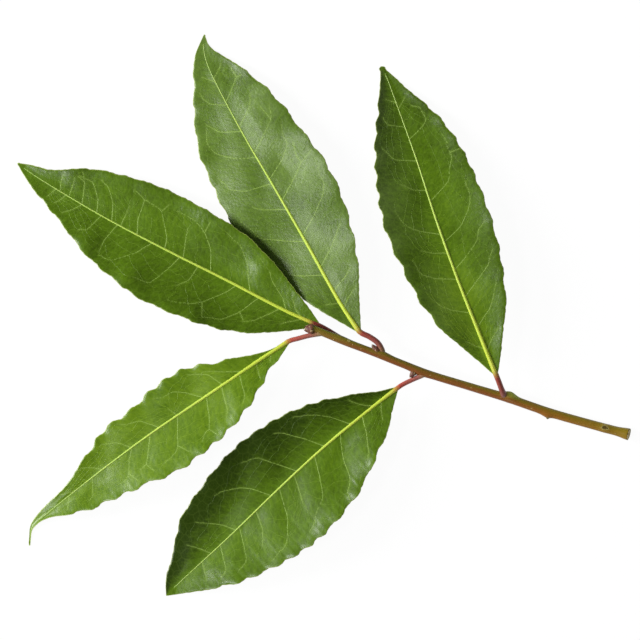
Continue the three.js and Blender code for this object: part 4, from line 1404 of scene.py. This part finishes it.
# %% Make the buds
BUDS = {
    "terminal_bud": {"root": [-1.7, -2.5, 8.4], "tip": [-4.7, -2.2, 8.7], "radius": 1.35, "scales": 9},
    "axillary_bud_upper": {"root": [15.6, -8.6, 7.2], "tip": [13.7, -6.3, 7.8], "radius": 0.8, "scales": 7},
    "axillary_bud_lower": {"root": [25.4, -13.9, 6.2], "tip": [24.0, -15.7, 6.5], "radius": 0.8, "scales": 7},
}
BUD_STACK, BUD_SKIN = bud_tree(), bud_scale_skin()
for name, bud in BUDS.items():
    made = grow(
        "scaly_" + name, scale_mesh(), BUD_STACK,
        Scales=bud["scales"], Shortest_scale=SHORTEST, Finish=BUD_SKIN,
    )
    root, tip = (Vector((np.array(bud[end]) + SHIFT) * MM) for end in ("root", "tip"))
    axis = tip - root
    size = Matrix.Diagonal((bud["radius"] * MM, bud["radius"] * MM, axis.length, 1))
    made.data.transform(Matrix.Translation(root) @ axis.to_track_quat("Z", "Y").to_matrix().to_4x4() @ size)
    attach(made, "root")
    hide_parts(name)
    print(name, len(made.data.polygons), "faces")

# %% [markdown]
# ## Camera, floor and light
#
# The camera looks straight down through a long lens, so that raised leaves hardly grow. Two soft lamps
# stand to the left, one low and one high, and a dim room fills the shadows. The floor is white to the
# camera and keeps the soft shadow.

# %% Camera
LENS = 300.0
SENSOR = 36.0
VIEW_WIDTH = 172.8 * MM  # what the camera takes in, at the leaves' height
LEAF_HEIGHT = 2 * MM
camera_data = bpy.data.cameras.new("camera")
camera_data.lens = LENS
camera_data.sensor_width = SENSOR
camera_data.clip_start = 0.01
camera = add_object("camera", camera_data)
camera.location = (SHIFT[0] * MM, SHIFT[1] * MM, LEAF_HEIGHT + VIEW_WIDTH * LENS / SENSOR)
bpy.context.scene.camera = camera
bpy.context.scene.view_settings.view_transform = "Standard"
print("camera height mm:", round(camera.location.z / MM, 1))

# %% Floor
HALF_FLOOR = 3.0
BELOW = 0.02 * MM  # so that it doesn't touch the leaf tips
SHOWN_WHITE = 0.94  # share of the floor's look that is plain white, the rest is lit paper
corners = [(x * HALF_FLOOR, y * HALF_FLOOR, -BELOW) for x, y in ((-1, -1), (1, -1), (1, 1), (-1, 1))]
floor_mesh = bpy.data.meshes.new("floor")
floor_mesh.from_pydata(corners, [], [(0, 1, 2, 3)])
floor = add_object("floor", floor_mesh)
paper, nodes, shader = new_material("matte_white_paper")
fill(shader, {"Base Color": linear(0xF2F2F2), "Roughness": 0.9, "Specular IOR Level": 0.0})
path = nodes.add("ShaderNodeLightPath").outputs
seen = path["Is Camera Ray"]
for ray in ("Is Glossy Ray", "Is Transmission Ray"):
    seen = nodes.maths("MAXIMUM", seen, path[ray])
share = nodes.maths("MULTIPLY", seen, SHOWN_WHITE)
glow = nodes.add("ShaderNodeEmission", {"Color": (1, 1, 1, 1), "Strength": 1.02})
mixed = nodes.add("ShaderNodeMixShader", {0: share, 1: shader, 2: glow})
fill(paper.node_tree.nodes["Material Output"], {"Surface": mixed})
floor_mesh.materials.append(paper)

# %% Lamps
def soft_lamp(name, azimuth, elevation, distance, size, watts):
    data = bpy.data.lights.new(name, "AREA")
    data.shape = "SQUARE"
    data.size = size
    data.energy = watts
    lamp = add_object(name, data)
    a, e = math.radians(azimuth), math.radians(elevation)
    lamp.location = Vector((math.cos(a) * math.cos(e), math.sin(a) * math.cos(e), math.sin(e))) * distance
    lamp.rotation_euler = (-lamp.location).to_track_quat("-Z", "Y").to_euler()


soft_lamp("low key softbox", azimuth=168, elevation=28, distance=0.9, size=0.35, watts=9.5)
soft_lamp("high softbox", azimuth=198, elevation=55, distance=2.4, size=0.5, watts=17.5)

# %% Room
ROOM = 0.18  # how bright the room is to the leaves
DARK_CEILING = 0.03  # how bright the ceiling shows in the leaves' gloss
WALLS_END = 0.15  # the height, as a share of the way up, where the white walls start to darken
CEILING = 0.4
world = bpy.data.worlds.new("studio")
bpy.context.scene.world = world
world.use_nodes = True
nodes = Nodes(world.node_tree)
path = nodes.add("ShaderNodeLightPath").outputs
look = nodes.add("ShaderNodeTexCoord").outputs["Generated"]
up = nodes.add("ShaderNodeSeparateXYZ", {"Vector": look}).outputs["Z"]
mirrored = nodes.remap(up, (WALLS_END, CEILING), (1.0, DARK_CEILING))
seen = nodes.maths("MAXIMUM", path["Is Camera Ray"], path["Is Transmission Ray"])
level = nodes.remap(seen, new=(ROOM, 1.0))
strength = nodes.add(
    "ShaderNodeMix", {"Factor": path["Is Glossy Ray"], "A": level, "B": mirrored}, data_type="FLOAT"
)
fill(world.node_tree.nodes["Background"], {"Color": (1, 1, 1, 1), "Strength": strength})
